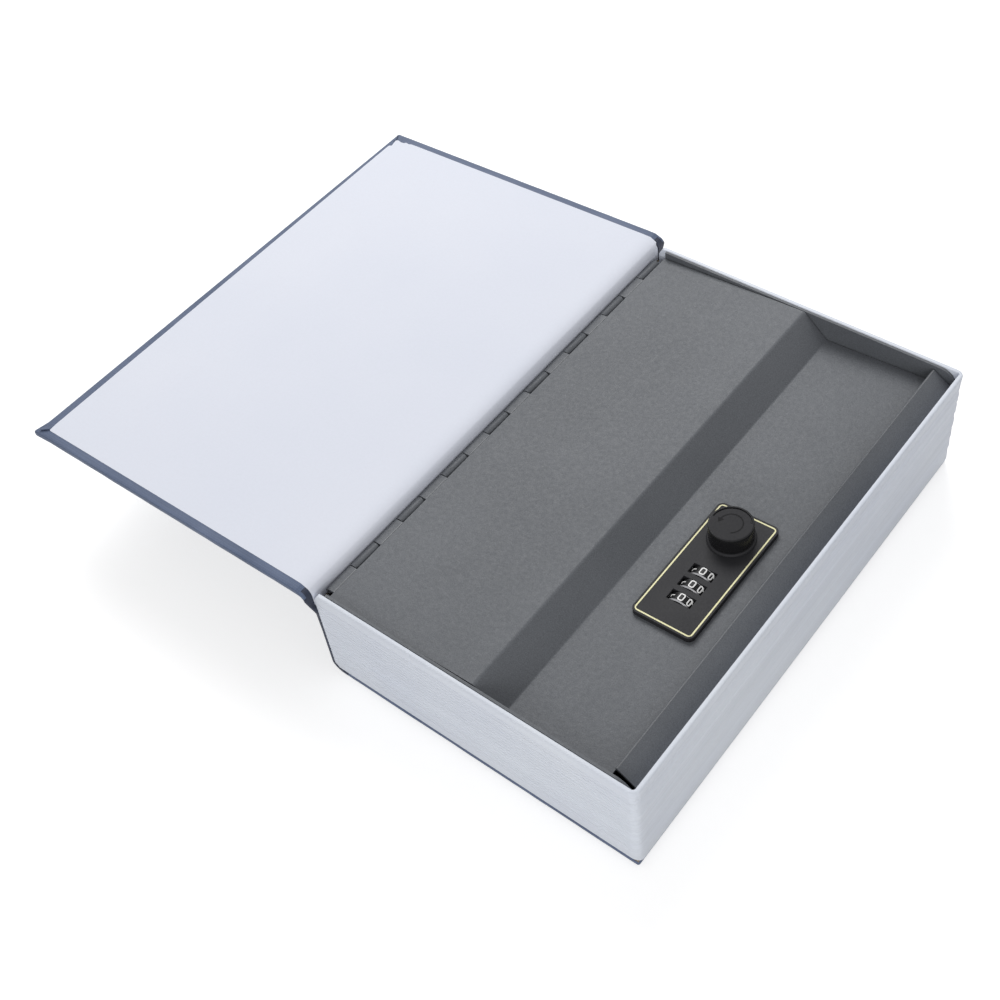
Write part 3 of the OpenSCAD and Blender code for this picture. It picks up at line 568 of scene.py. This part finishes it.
def wrapped(place, start_x, fore_x, half_l, thickness, turn_ins):
    """Cloth round three edges of a board, in rings from the turn-in's free edge to the outer face."""
    end_in, fore_tail_in, fore_head_in = turn_ins
    corner_r, run_steps, arc_steps = 1.0, 40, 6
    rings = []
    for k, (inset, depth) in enumerate(edge_section(thickness, end_in)):
        r = max(corner_r - inset, 0) if k else 0
        tail = (fore_x - (inset + r if k else fore_tail_in), -half_l + inset + r)
        head = (fore_x - (inset + r if k else fore_head_in), half_l - inset - r)
        ring = [(start_x + (tail[0] - start_x) * i / run_steps, -half_l + inset) for i in range(run_steps)]
        for i in range(arc_steps):
            turn = radians(-90 + 90 * i / arc_steps)
            ring.append((tail[0] + r * cos(turn), tail[1] + r * sin(turn)))
        for i in range(run_steps):
            t = i / run_steps
            ring.append((tail[0] + (head[0] - tail[0]) * t + r, tail[1] + (head[1] - tail[1]) * t))
        for i in range(arc_steps):
            turn = radians(90 * i / arc_steps)
            ring.append((head[0] + r * cos(turn), head[1] + r * sin(turn)))
        ring += [(head[0] + (start_x - head[0]) * i / run_steps, half_l - inset)
                 for i in range(run_steps + 1)]
        rings.append([place(x, y + 0.1 * wobble(x / 8, y / 8, 6) * (x > start_x + 4), depth)
                      for x, y in ring])
    return rings


# Where the joint folds when the cover closes, and how much of the paper's bend is one flat step there
FOLD_X = cover_hinge.x - 0.75
CHORD_STEPS = 7


def joint_paths():
    """The joint's section: the cloth's outer path and the path below the endpaper, from the cover down."""
    outer_r, inner_r = 2.2, 4.5
    steps = 14
    start_out = on_open(COVER_START_X, 0, COVER_IN_Z + BOARD_T)
    start_in = on_open(COVER_START_X, 0, COVER_IN_Z)
    out_c = (SPINE_X - outer_r, start_out[2] - outer_r)
    in_x = -HALF_W - 1.0
    in_c = (in_x - inner_r, start_in[2] - inner_r)
    # the closed cover folds the cloth between this first place and the cover's edge
    outer = [(FOLD_X, out_c[1] + outer_r)]
    inner = [(FOLD_X - 0.4, in_c[1] + inner_r)]
    for i in range(steps + 1):
        turn = radians(90 - 90 * i / steps)
        outer.append((out_c[0] + outer_r * cos(turn), out_c[1] + outer_r * sin(turn)))
        inner.append((in_c[0] + inner_r * cos(turn), in_c[1] + inner_r * sin(turn)))
    chord = Vector(inner[CHORD_STEPS + 1]) - Vector(inner[1])
    for i in range(1, CHORD_STEPS):
        inner[1 + i] = tuple(Vector(inner[1]) + chord * i / CHORD_STEPS)
    low = joint_low.z
    for t in (0.12, 0.25, 0.38, 0.5, 0.62, 0.75, 0.88, 1.0):
        outer.append((SPINE_X, out_c[1] + (low - out_c[1]) * t))
        inner.append((in_x + (0 if t < 0.26 else 1.0), in_c[1] + (low - in_c[1]) * t))
    return outer, inner


def joint_half_width(z, sign):
    """Half of the joint cloth's width at a height: it narrows from the cover to the spine."""
    cover_half, pass_half, spine_half = COVER_HALF_L, HALF_L + 0.3, SPINE_HALF_L
    cover_z, pass_z, spine_z = RIM_Z - 2.7, RIM_Z - 13.7, joint_low.z
    if z > cover_z:
        half = cover_half
    elif z > pass_z:
        half = pass_half + (cover_half - pass_half) * (z - pass_z) / (cover_z - pass_z)
    else:
        half = spine_half + (pass_half - spine_half) * (z - spine_z) / (pass_z - spine_z)
    if sign > 0:
        # a small tab of cloth stands proud where it rolls over at the head
        half += 0.9 * smooth(48.5, 50.0, z) * (1 - smooth(50.6, 53.5, z))
    return half


def made_solid(ob, thickness, up, sharp):
    """Turns a sheet's largest face up or down, and gives the sheet its thickness behind its faces."""
    work = bmesh.new()
    work.from_mesh(ob.data)
    bmesh.ops.recalc_face_normals(work, faces=work.faces)
    largest = max(work.faces, key=lambda face: face.calc_area())
    if (largest.normal.z > 0) != up:
        bmesh.ops.reverse_faces(work, faces=work.faces)
    work.to_mesh(ob.data)
    work.free()
    thicken(ob, thickness)
    bpy.context.view_layer.update()
    solid = bpy.data.meshes.new_from_object(ob.evaluated_get(bpy.context.evaluated_depsgraph_get()))
    ob.modifiers.clear()
    ob.data = solid
    solid.set_sharp_from_angle(angle=radians(sharp))


def over_joint(ob):
    """Bakes a piece's placing into its mesh."""
    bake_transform(ob)


def book_covering():
    """One cloth from the front cover over the joint and the spine to the back cover."""
    turn_in = TURN_IN + 1
    back_inset = 0.8

    def nosed(x, y, depth):
        # the tail strip's folded end stands out a little at the cover's outer corner
        near = smooth(8, 1, y + COVER_HALF_L) * smooth(9, 1, COVER_FORE_X - x)
        return front_place(x + 1.8 * near, y - 0.2 * near, depth + 0.35 * near)

    front = wrapped(nosed, COVER_START_X, COVER_FORE_X, COVER_HALF_L, BOARD_T,
                    (turn_in, TURN_IN_TAIL + 1, TURN_IN_HEAD + 1))
    back = wrapped(back_place, -HALF_W + 5, HALF_W - back_inset, HALF_L - back_inset, BASE_Z,
                   (BACK_TURN_IN, BACK_TURN_IN, BACK_TURN_IN))
    points = [p for ring in front for p in ring]
    n = len(front[0])
    faces = grid(len(front), n)
    faces.append(tuple(range((len(front) - 1) * n, len(front) * n)))

    def end_row(start):
        tail = [start + k * n for k in range(len(front))]
        return tail + [i + n - 1 for i in reversed(tail)]

    def add_row(outer, inner, half_tail, half_head, inset):
        """Points over the cloth's outer face and its two turn-ins, from the tail to the head."""
        row = []
        section = edge_section(BOARD_T, inset)
        for sign, half, order in ((-1, half_tail, section), (1, half_head, section[::-1])):
            for across, depth in order:
                s = 1 - depth / BOARD_T
                row.append(len(points))
                points.append((outer[0] + (inner[0] - outer[0]) * s, sign * (half - across),
                               outer[1] + (inner[1] - outer[1]) * s))
        return row

    rows = [end_row(0)]
    for outer, inner in zip(*joint_paths()):
        tail_half, head_half = joint_half_width(outer[1], -1), joint_half_width(outer[1], 1)
        rows.append(add_row(outer, inner, tail_half, head_half, turn_in))
    for z in (26, 22, 18, 14, 10):
        rows.append(add_row((SPINE_X, z), (-HALF_W, z), SPINE_HALF_L, SPINE_HALF_L, BACK_TURN_IN))
    centre = (-HALF_W + 5, SPINE_R)
    bend_steps = 12
    for i in range(bend_steps):
        turn = radians(180 + 90 * i / bend_steps)
        reach = SPINE_R - SPINE_T - (BASE_Z - SPINE_T) * i / bend_steps
        half = SPINE_HALF_L - 0.9 * i / (bend_steps - 1)
        rows.append(add_row((centre[0] + SPINE_R * cos(turn), centre[1] + SPINE_R * sin(turn)),
                            (centre[0] + reach * cos(turn), centre[1] + reach * sin(turn)),
                            half, half, BACK_TURN_IN))
    start = len(points)
    points += [p for ring in back for p in ring]
    faces += grid(len(back), n, start)
    faces.append(tuple(range(start + (len(back) - 1) * n, start + len(back) * n)))
    rows.append(end_row(start))
    first_joint_face = len(faces)
    for a, b in zip(rows, rows[1:]):
        faces += [(a[j], a[j + 1], b[j + 1], b[j]) for j in range(len(a) - 1)]
    ob = piece("book_cloth_cover", points, faces, [CLOTH, CLOTH_PAINTED_SHADE], None, 50)
    columns = len(rows[0]) - 1
    # below the rim the joint's ends take the dark cloth as painted shade, and so do its turn-ins past the
    # first rows
    first_dark_row, painted_shade_w, painted_shade_drop = 6, 1.7, 0.7
    for k, polygon in enumerate(ob.data.polygons[first_joint_face:]):
        middle = polygon.center / MM
        turned_in = k // columns >= first_dark_row and k % columns in (0, columns - 1)
        at_end = middle.z < RIM_Z - painted_shade_drop and joint_half_width(middle.z, -1) - abs(middle.y) < painted_shade_w
        if turned_in or at_end:
            polygon.material_index = 1
    made_solid(ob, CLOTH_T, False, 50)
    over_joint(ob)
    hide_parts("front_cloth", "joint_cloth", "case_cloth")


def endpaper():
    """One sheet from the front cover's fore edge over the joint, down beside the lid's hinge."""
    half = COVER_HALF_L - TURN_IN
    low, high = -half, half
    tail_x, head_x = COVER_FORE_X - TURN_IN_TAIL, COVER_FORE_X - TURN_IN_HEAD
    columns = 60
    lift = 0.14
    gutter_narrower = 1.3
    edge = [low + (high - low) * j / columns for j in range(columns + 1)]
    outline = [(COVER_START_X, y) for y in edge]
    # the corner at the fore edge and the head is torn, in small steps
    torn = [(9.6, 0.1), (8.4, 0.6), (6.4, 0.3), (5.6, 1.1), (3.8, 1.3), (2.5, 0.9), (1.7, 0.8), (0.8, 1.0),
            (0.5, 1.9), (0.8, 3.2), (1.4, 5.6), (0.2, 6.4)]
    outline += [(COVER_START_X + (head_x - 9.6 - COVER_START_X) * i / 40, high + 0.05 * wobble(i, 0, 9))
                for i in range(1, 40)]
    outline += [(head_x - across, high - down) for across, down in torn]
    outline += [(head_x + (tail_x - head_x) * t + 0.06 * wobble(t * 40, 0, 8), high + (low - high) * t)
                for t in [i / 60 for i in range(2, 59)]]
    outline += [(tail_x, low + 0.6), (tail_x - 0.8, low)]
    points = [front_place(x, y, -lift) for x, y in outline]
    faces = [tuple(range(len(outline)))]
    inner = joint_paths()[1]
    path = [inner[1]] + [p for p in inner[CHORD_STEPS + 1:] if p[1] > gutter_low.z]
    path.append((path[-1][0], gutter_low.z))
    first = list(range(columns + 1))
    for k, (x, z) in enumerate(path):
        sag = 0.2 * smooth(0, 5, k) * (1 - smooth(len(path) - 4, len(path) - 1, k))
        row = list(range(len(points), len(points) + columns + 1))
        # the head's edge draws in, and a tiny step keeps the drawn-in points apart
        head_y = high - gutter_narrower * smooth(0, 3, k)
        across = [min(y, head_y) - 0.001 * (high - y) / high for y in edge]
        points += [(x + sag * wobble(y / 45, k / 9, 12) + lift * smooth(0, 8, k), y,
                    z + lift * (1 - smooth(3, 8, k)) + sag * wobble(y / 38, k / 9, 13)) for y in across]
        faces += [(first[j], row[j], row[j + 1], first[j + 1]) for j in range(columns)]
        first = row
    ob = piece("endpaper_sheet", points, faces, PAPER, None, 60)
    made_solid(ob, 0.3, True, 40)
    over_joint(ob)
    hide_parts("front_endpaper", "gutter_paper")


def corner_laps():
    """The cloth's lapped folds at the two outer corners of the cover."""
    for name, sign, width in (("corner_fold_tail", -1, TURN_IN_TAIL), ("corner_fold_head", 1, TURN_IN_HEAD)):
        edge_x, edge_y = COVER_FORE_X, sign * COVER_HALF_L
        inner_x = edge_x - width
        points = []
        steps, columns = 10, 5
        for i in range(steps + 1):
            t = i / steps
            # the fold's line runs from the board's corner to the endpaper's corner
            x = edge_x - 0.9 + (inner_x - 0.2 - edge_x + 0.9) * t
            y = edge_y - sign * (1.3 + (TURN_IN - 1.3 + 0.3) * t)
            wide = 3.2 - 0.4 * t
            for j in range(columns):
                u = j / (columns - 1)
                lift = -0.5 * (1 - u) ** 2 * (0.6 + 0.4 * sin(pi * t)) - 0.04
                points.append(front_place(x + 0.15 * u, y - sign * u * wide, lift))
        faces = grid(steps + 1, columns)
        if sign > 0:
            faces = [tuple(reversed(f)) for f in faces]
        ob = piece(name, points, faces, CLOTH, None, 60)
        thicken(ob, 0.25, 0)
        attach(ob, "cover")


# Lock


def on_lid(x, y, z):
    """A place in the lid's frame: x towards the front, z up, from the hinge line."""
    c, s = cos(LID_TILT), sin(LID_TILT)
    return (hinge.x + x * c - z * s, y, hinge.z + x * s + z * c)


PLATE_TOP = -6.95
KNOB_R = 8.9
KNOB_TOP_Z = 1.7766
LOCK_X = (knob_axis.x - hinge.x) * cos(LID_TILT) + (knob_axis.z - hinge.z) * sin(LID_TILT)


def knob():
    """A turned knob with half a ring groove in its top."""
    base, top, edge = PLATE_TOP + 1.45, KNOB_TOP_Z, 0.5
    groove_in, groove_out, groove_w, groove_d = 7.4, 7.9, 0.12, 0.45
    steps = 144
    profile = [(3.2, base), (KNOB_R - 0.3, base), (KNOB_R, base + 0.3), (KNOB_R, top - edge - 1.0),
               (KNOB_R, top - edge), (KNOB_R - 0.16, top - 0.16), (KNOB_R - edge, top)]
    top_rings = [groove_out + groove_w, groove_out, groove_in, groove_in - groove_w, 5.0, 2.5, 0.6]
    points = []
    for i in range(steps):
        at = 360 * i / steps
        turn = radians(at)
        depth = groove_d * (smooth(30, 34, at) * (1 - smooth(178, 182, at)))
        ring = profile + [(r, top - depth * (groove_in <= r <= groove_out)) for r in top_rings]
        points += [on_lid(LOCK_X + r * cos(turn), knob_axis.y + r * sin(turn), z) for r, z in ring]
    n = len(profile) + len(top_rings)
    faces = [tuple(reversed(f)) for f in grid(steps, n, 0, True)]
    faces.append(tuple(i * n for i in reversed(range(steps))))
    faces.append(tuple(i * n + n - 1 for i in range(steps)))
    ob = piece("turning_knob", points, faces, [KNOB, KNOB_TOP], "lock_knob", 30)
    top_from = on_lid(LOCK_X, 0, top - 1)[2] * MM
    for polygon in ob.data.polygons:
        if polygon.normal.z > 0.97 and polygon.center.z > top_from:
            polygon.material_index = 1
    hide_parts("knob")


def ribbon(points, faces, path, width, place, low, high):
    """Adds a closed strip of a width along a path of flat places, raised from low to high."""
    start = len(points)
    n = len(path)
    for i, (u, v) in enumerate(path):
        before = Vector(path[i]) - Vector(path[i - 1]) if i else Vector(path[1]) - Vector(path[0])
        after = Vector(path[i + 1]) - Vector(path[i]) if i < n - 1 else before
        before, after = before.normalized(), after.normalized()
        way = (before + after).normalized()
        side = Vector((-way.y, way.x)) * (width / 2 / max(way.dot(before), 0.5))
        for sign in (-1, 1):
            for height in (low, high):
                points.append(place(u + sign * side.x, v + sign * side.y, height))
    for i in range(n - 1):
        a, b = start + 4 * i, start + 4 * (i + 1)
        faces += [(a + 1, a + 3, b + 3, b + 1), (a, b, b + 2, a + 2), (a, a + 1, b + 1, b),
                  (a + 2, b + 2, b + 3, a + 3)]
    faces += [(start, start + 2, start + 3, start + 1)]
    last = start + 4 * (n - 1)
    faces += [(last, last + 1, last + 3, last + 2)]


def knob_mark():
    """A plain turning arrow on the knob's top."""
    points, faces = [], []
    radius, width, low, high = 4.6, 0.55, -0.05, 0.04

    def place(u, v, height):
        return on_lid(LOCK_X + u, knob_axis.y + v, KNOB_TOP_Z + height)

    arc = [(radius * cos(radians(a)), radius * sin(radians(a))) for a in range(-60, 181, 10)]
    ribbon(points, faces, arc, width, place, low, high)
    tip = [(-radius - 1.3, 0.3), (-radius, -1.9), (-radius + 1.3, 0.3)]
    start = len(points)
    points += [place(u, v, h) for h in (low, high) for u, v in tip]
    faces += [(start + 2, start + 1, start), (start + 3, start + 4, start + 5)]
    faces += [(start + i, start + (i + 1) % 3, start + 3 + (i + 1) % 3, start + 3 + i) for i in range(3)]
    piece("knob_arrow", points, faces, MARK, "lock_knob", 30)


# Strokes of the numbers on the wheels, in a cell from -1 to 1 across and up, with cut corners
CUT = 0.35
EDGE = 1 - CUT
RING = [(-1, -EDGE), (-1, EDGE), (-EDGE, 1), (EDGE, 1), (1, EDGE), (1, -EDGE), (EDGE, -1), (-EDGE, -1),
        (-1, -EDGE)]
# the lower curve that 3 and 5 end with
BELLY = [(1, -EDGE), (EDGE, -1), (-EDGE, -1), (-1, -0.65)]
STROKES = [
    [RING],
    [[(-0.7, 0.55), (0, 1), (0, -1)]],
    [[(-1, 0.55), (-EDGE, 1), (EDGE, 1), (1, EDGE), (1, 0.25), (-1, -1), (1, -1)]],
    [[(-1, 1), (1, 1), (0, 0.15), (EDGE, 0.15), (1, -0.2)] + BELLY],
    [[(0.4, -1), (0.4, 1), (-1, -0.4), (1, -0.4)]],
    [[(1, 1), (-1, 1), (-1, 0.1), (EDGE, 0.1), (1, -0.25)] + BELLY],
    [[(0.8, 1), (-EDGE, 1), (-1, EDGE), (-1, -EDGE), (-EDGE, -1), (EDGE, -1), (1, -EDGE), (1, -0.25),
      (EDGE, 0.05), (-1, 0.05)]],
    [[(-1, 1), (1, 1), (-0.3, -1)]],
    [RING, [(-1, 0), (1, 0)]],
    [[(1, 0.1), (EDGE, -0.25), (-EDGE, -0.25), (-1, 0.1), (-1, 0.65), (-EDGE, 1), (EDGE, 1), (1, 0.6),
      (0.75, -0.3), (0.1, -1)]],
]


def number_wheel(index):
    """A number wheel: a turned body with bevelled rims and ten raised numbers."""
    axis = joint_at(f"wheel_{index}_turn")
    low, high = box_of(f"dial_{index}")
    radius = (high.z - low.z) / 2
    half, rim, bore = (high.y - low.y) / 2, 0.45, 3.05
    profile = [(bore, -half), (radius - rim, -half), (radius, -half + rim), (radius, half - rim),
               (radius - rim, half), (bore, half)]
    points, faces = lathe(profile, 100)
    points = [(axis.x + x, axis.y + z, axis.z + y) for x, y, z in points]
    body = piece(f"number_wheel_{index}", points, faces, [WHEEL, WHEEL_RIM],
                 f"wheel_{index}", 25)
    for polygon in body.data.polygons:
        y = polygon.center.y / MM - axis.y
        if half - rim < abs(y) < half - 0.01:
            polygon.material_index = 1
    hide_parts(f"dial_{index}")
    digits, digit_faces = [], []
    # half a number's width and height, its stroke's width, its foot and top, and its shift along the wheel
    wide, tall, stroke, sunk, raised, shift = 1.43, 0.98, 0.46, -0.1, 0.04, 0.25
    for number, strokes in enumerate(STROKES):
        def place(u, v, height):
            # a number's top is towards the lid's hinge, so v runs round the wheel and u along it
            turn = -v / radius - radians(36) * number - LID_TILT
            r = radius + height
            return (axis.x + r * sin(turn), axis.y + shift + u, axis.z + r * cos(turn))
        for path in strokes:
            fine = []
            for a, b in zip(path, path[1:]):
                fine += [(wide * (a[0] + (b[0] - a[0]) * t), tall * (a[1] + (b[1] - a[1]) * t))
                         for t in (0, 0.5)]
            fine.append((wide * path[-1][0], tall * path[-1][1]))
            ribbon(digits, digit_faces, fine, stroke, place, sunk, raised)
    piece(f"numbers_{index}", digits, digit_faces, DIGIT, f"wheel_{index}", 40)


def flange_edge():
    """A lighter strip along the front flange's free edge: a painted highlight."""
    points, faces = [], []
    tip_x, tip_z, tilt = 61.85, 52.3, radians(33)
    from_tip, width, sunk, raised = 0.26, 0.42, -0.05, 0.06
    low_y, high_y = -110.2, 112.6

    def place(u, v, height):
        return (tip_x + u * cos(tilt) + height * sin(tilt), v, tip_z - u * sin(tilt) + height * cos(tilt))

    ribbon(points, faces, [(from_tip, low_y), (from_tip, high_y)], width, place, sunk, raised)
    piece("flange_painted_highlight", points, faces, STEEL_PAINTED_HIGHLIGHT, "book", 30)


def knuckle_folds():
    """The raised fold along the front of each of the lid's rolled knuckles, in a lighter coat that is a
    painted highlight.
    """
    points, faces = [], []
    count, pitch, first, knuckle_r, gap = 8, 27.5, -110.0, 2.05, 0.5
    fold_x, width, sunk, raised = 2.5, 0.3, -0.05, 0.13

    def place(u, v, height):
        return on_lid(u, v, knuckle_r + height)

    for k in range(count):
        start = first + pitch * k
        path = [(fold_x, start + gap), (fold_x, start + pitch / 2 - gap)]
        ribbon(points, faces, path, width, place, sunk, raised)
    piece("lid_knuckle_folds", points, faces, STEEL_PAINTED_HIGHLIGHT, "lid", 30)


# The rest of the CAD nodes keep their shape


def dress(node, material, edge=0.0):
    """Gives a CAD node its material, and rounds its sharp edges by a width."""
    ob = frame["nodes"][node]
    ob.data.materials.clear()
    ob.data.materials.append(material)
    if edge:
        # the flat faces' triangles are joined first, or the rounding would show them as lines
        weld = ob.modifiers.new("weld", "WELD")
        weld.merge_threshold = 0.002 * MM
        flat = ob.modifiers.new("flat faces", "DECIMATE")
        flat.decimate_type = "DISSOLVE"
        flat.angle_limit = radians(0.4)
        soften(ob, edge)


page_block()
book_covering()
endpaper()
corner_laps()
knob()
knob_mark()
knuckle_folds()
flange_edge()
for wheel in (1, 2, 3):
    number_wheel(wheel)

for node in ("steel_box", "lid_panel", "front_ledge"):
    dress(node, STEEL, 0.22)
dress("lock_plate", PLATE, 0.25)
dress("knob_collar", PLATE, 0.12)
dress("gold_line", GOLD)
dress("lock_body", CASE, 0.3)
dress("lock_back", ZINC, 0.1)
dress("reset_slider", SLIDER, 0.1)
dress("hinge_pin", PIN, 0.12)
for node in ("box_rivets", "lock_screws", "wheel_axle", "spindle", "cam", "cam_washer", "cam_nut"):
    dress(node, ZINC, 0.12)
dress("detent_spring", SPRING, 0.05)
for wheel in (1, 2, 3):
    dress(f"dial_sleeve_{wheel}", BRASS, 0.08)
for node in ("back_board", "spine_board", "front_board"):
    dress(node, BOARD, 0.3)


# Camera, floor and light, in metres

# The white background's strength on the object, and the floor's glow towards the camera and its grey
AMBIENT = 0.40
FLOOR_GLOW = 0.62
FLOOR_GREY = 0.66

cam = bpy.data.cameras.new("camera")
cam.lens = 52.71
cam.sensor_width = 36
cam_ob = bpy.data.objects.new("camera", cam)
bpy.context.scene.collection.objects.link(cam_ob)
right = Vector((0.78172, 0.61552, -0.10025))
up = Vector((-0.42645, 0.64489, 0.63424))
back = Vector((0.45504, -0.45305, 0.76661))
rot = Matrix((right, up, back)).transposed()
cam_ob.matrix_world = Matrix.Translation(Vector((0.21783, -0.30042, 0.49345))) @ rot.to_4x4()
bpy.context.scene.camera = cam_ob


def light_path_share(tree):
    """1 for camera, mirror and glass rays, and 0 for the rays that light the object."""
    path = tree.nodes.new("ShaderNodeLightPath")
    total = None
    for ray in ("Is Camera Ray", "Is Glossy Ray", "Is Transmission Ray"):
        if total is None:
            total = path.outputs[ray]
            continue
        node = tree.nodes.new("ShaderNodeMath")
        node.operation = "MAXIMUM"
        tree.links.new(total, node.inputs[0])
        tree.links.new(path.outputs[ray], node.inputs[1])
        total = node.outputs["Value"]
    return total


def floor():
    """A white floor just below the book: it keeps the book's shadow, and glows towards the camera."""
    size = 2.0
    mesh = bpy.data.meshes.new("floor")
    corners = [(-size, -size, 0), (size, -size, 0), (size, size, 0), (-size, size, 0)]
    mesh.from_pydata(corners, [], [(0, 1, 2, 3)])
    ob = bpy.data.objects.new("floor", mesh)
    ob.location.z = -0.0003
    bpy.context.scene.collection.objects.link(ob)
    material = bpy.data.materials.new("floor_white")
    material.use_nodes = True
    tree = material.node_tree
    shader = tree.nodes["Principled BSDF"]
    shader.inputs["Base Color"].default_value = (FLOOR_GREY, FLOOR_GREY, FLOOR_GREY, 1)
    shader.inputs["Roughness"].default_value = 0.9
    shader.inputs["Specular IOR Level"].default_value = 0.0
    glow = tree.nodes.new("ShaderNodeEmission")
    share = tree.nodes.new("ShaderNodeMath")
    share.operation = "MULTIPLY"
    share.inputs[1].default_value = FLOOR_GLOW
    tree.links.new(light_path_share(tree), share.inputs[0])
    tree.links.new(share.outputs["Value"], glow.inputs["Strength"])
    both = tree.nodes.new("ShaderNodeAddShader")
    tree.links.new(shader.outputs["BSDF"], both.inputs[0])
    tree.links.new(glow.outputs["Emission"], both.inputs[1])
    tree.links.new(both.outputs["Shader"], tree.nodes["Material Output"].inputs["Surface"])
    mesh.materials.append(material)


def soft_box(name, place, size, watts):
    """A soft lamp that faces the middle of the book."""
    lamp = bpy.data.lights.new(name, "AREA")
    lamp.shape = "RECTANGLE"
    lamp.size, lamp.size_y = size
    lamp.energy = watts
    ob = bpy.data.objects.new(name, lamp)
    bpy.context.scene.collection.objects.link(ob)
    ob.location = place
    ob.rotation_euler = (Vector(place) - Vector((0, 0, 0.03))).to_track_quat("Z", "Y").to_euler()


world = bpy.data.worlds.new("world")
bpy.context.scene.world = world
world.use_nodes = True
background = world.node_tree.nodes["Background"]
background.inputs["Color"].default_value = (1, 1, 1, 1)
strength = world.node_tree.nodes.new("ShaderNodeMapRange")
strength.inputs["To Min"].default_value = AMBIENT
strength.inputs["To Max"].default_value = 1.0
world.node_tree.links.new(light_path_share(world.node_tree), strength.inputs["Value"])
world.node_tree.links.new(strength.outputs["Result"], background.inputs["Strength"])
floor()
soft_box("key", (-0.75, 0.75, 1.15), (0.9, 0.9), 13.8)
soft_box("fill", (0.6, -1.1, 0.5), (1.0, 0.7), 6.0)
bpy.context.scene.view_settings.view_transform = "Standard"
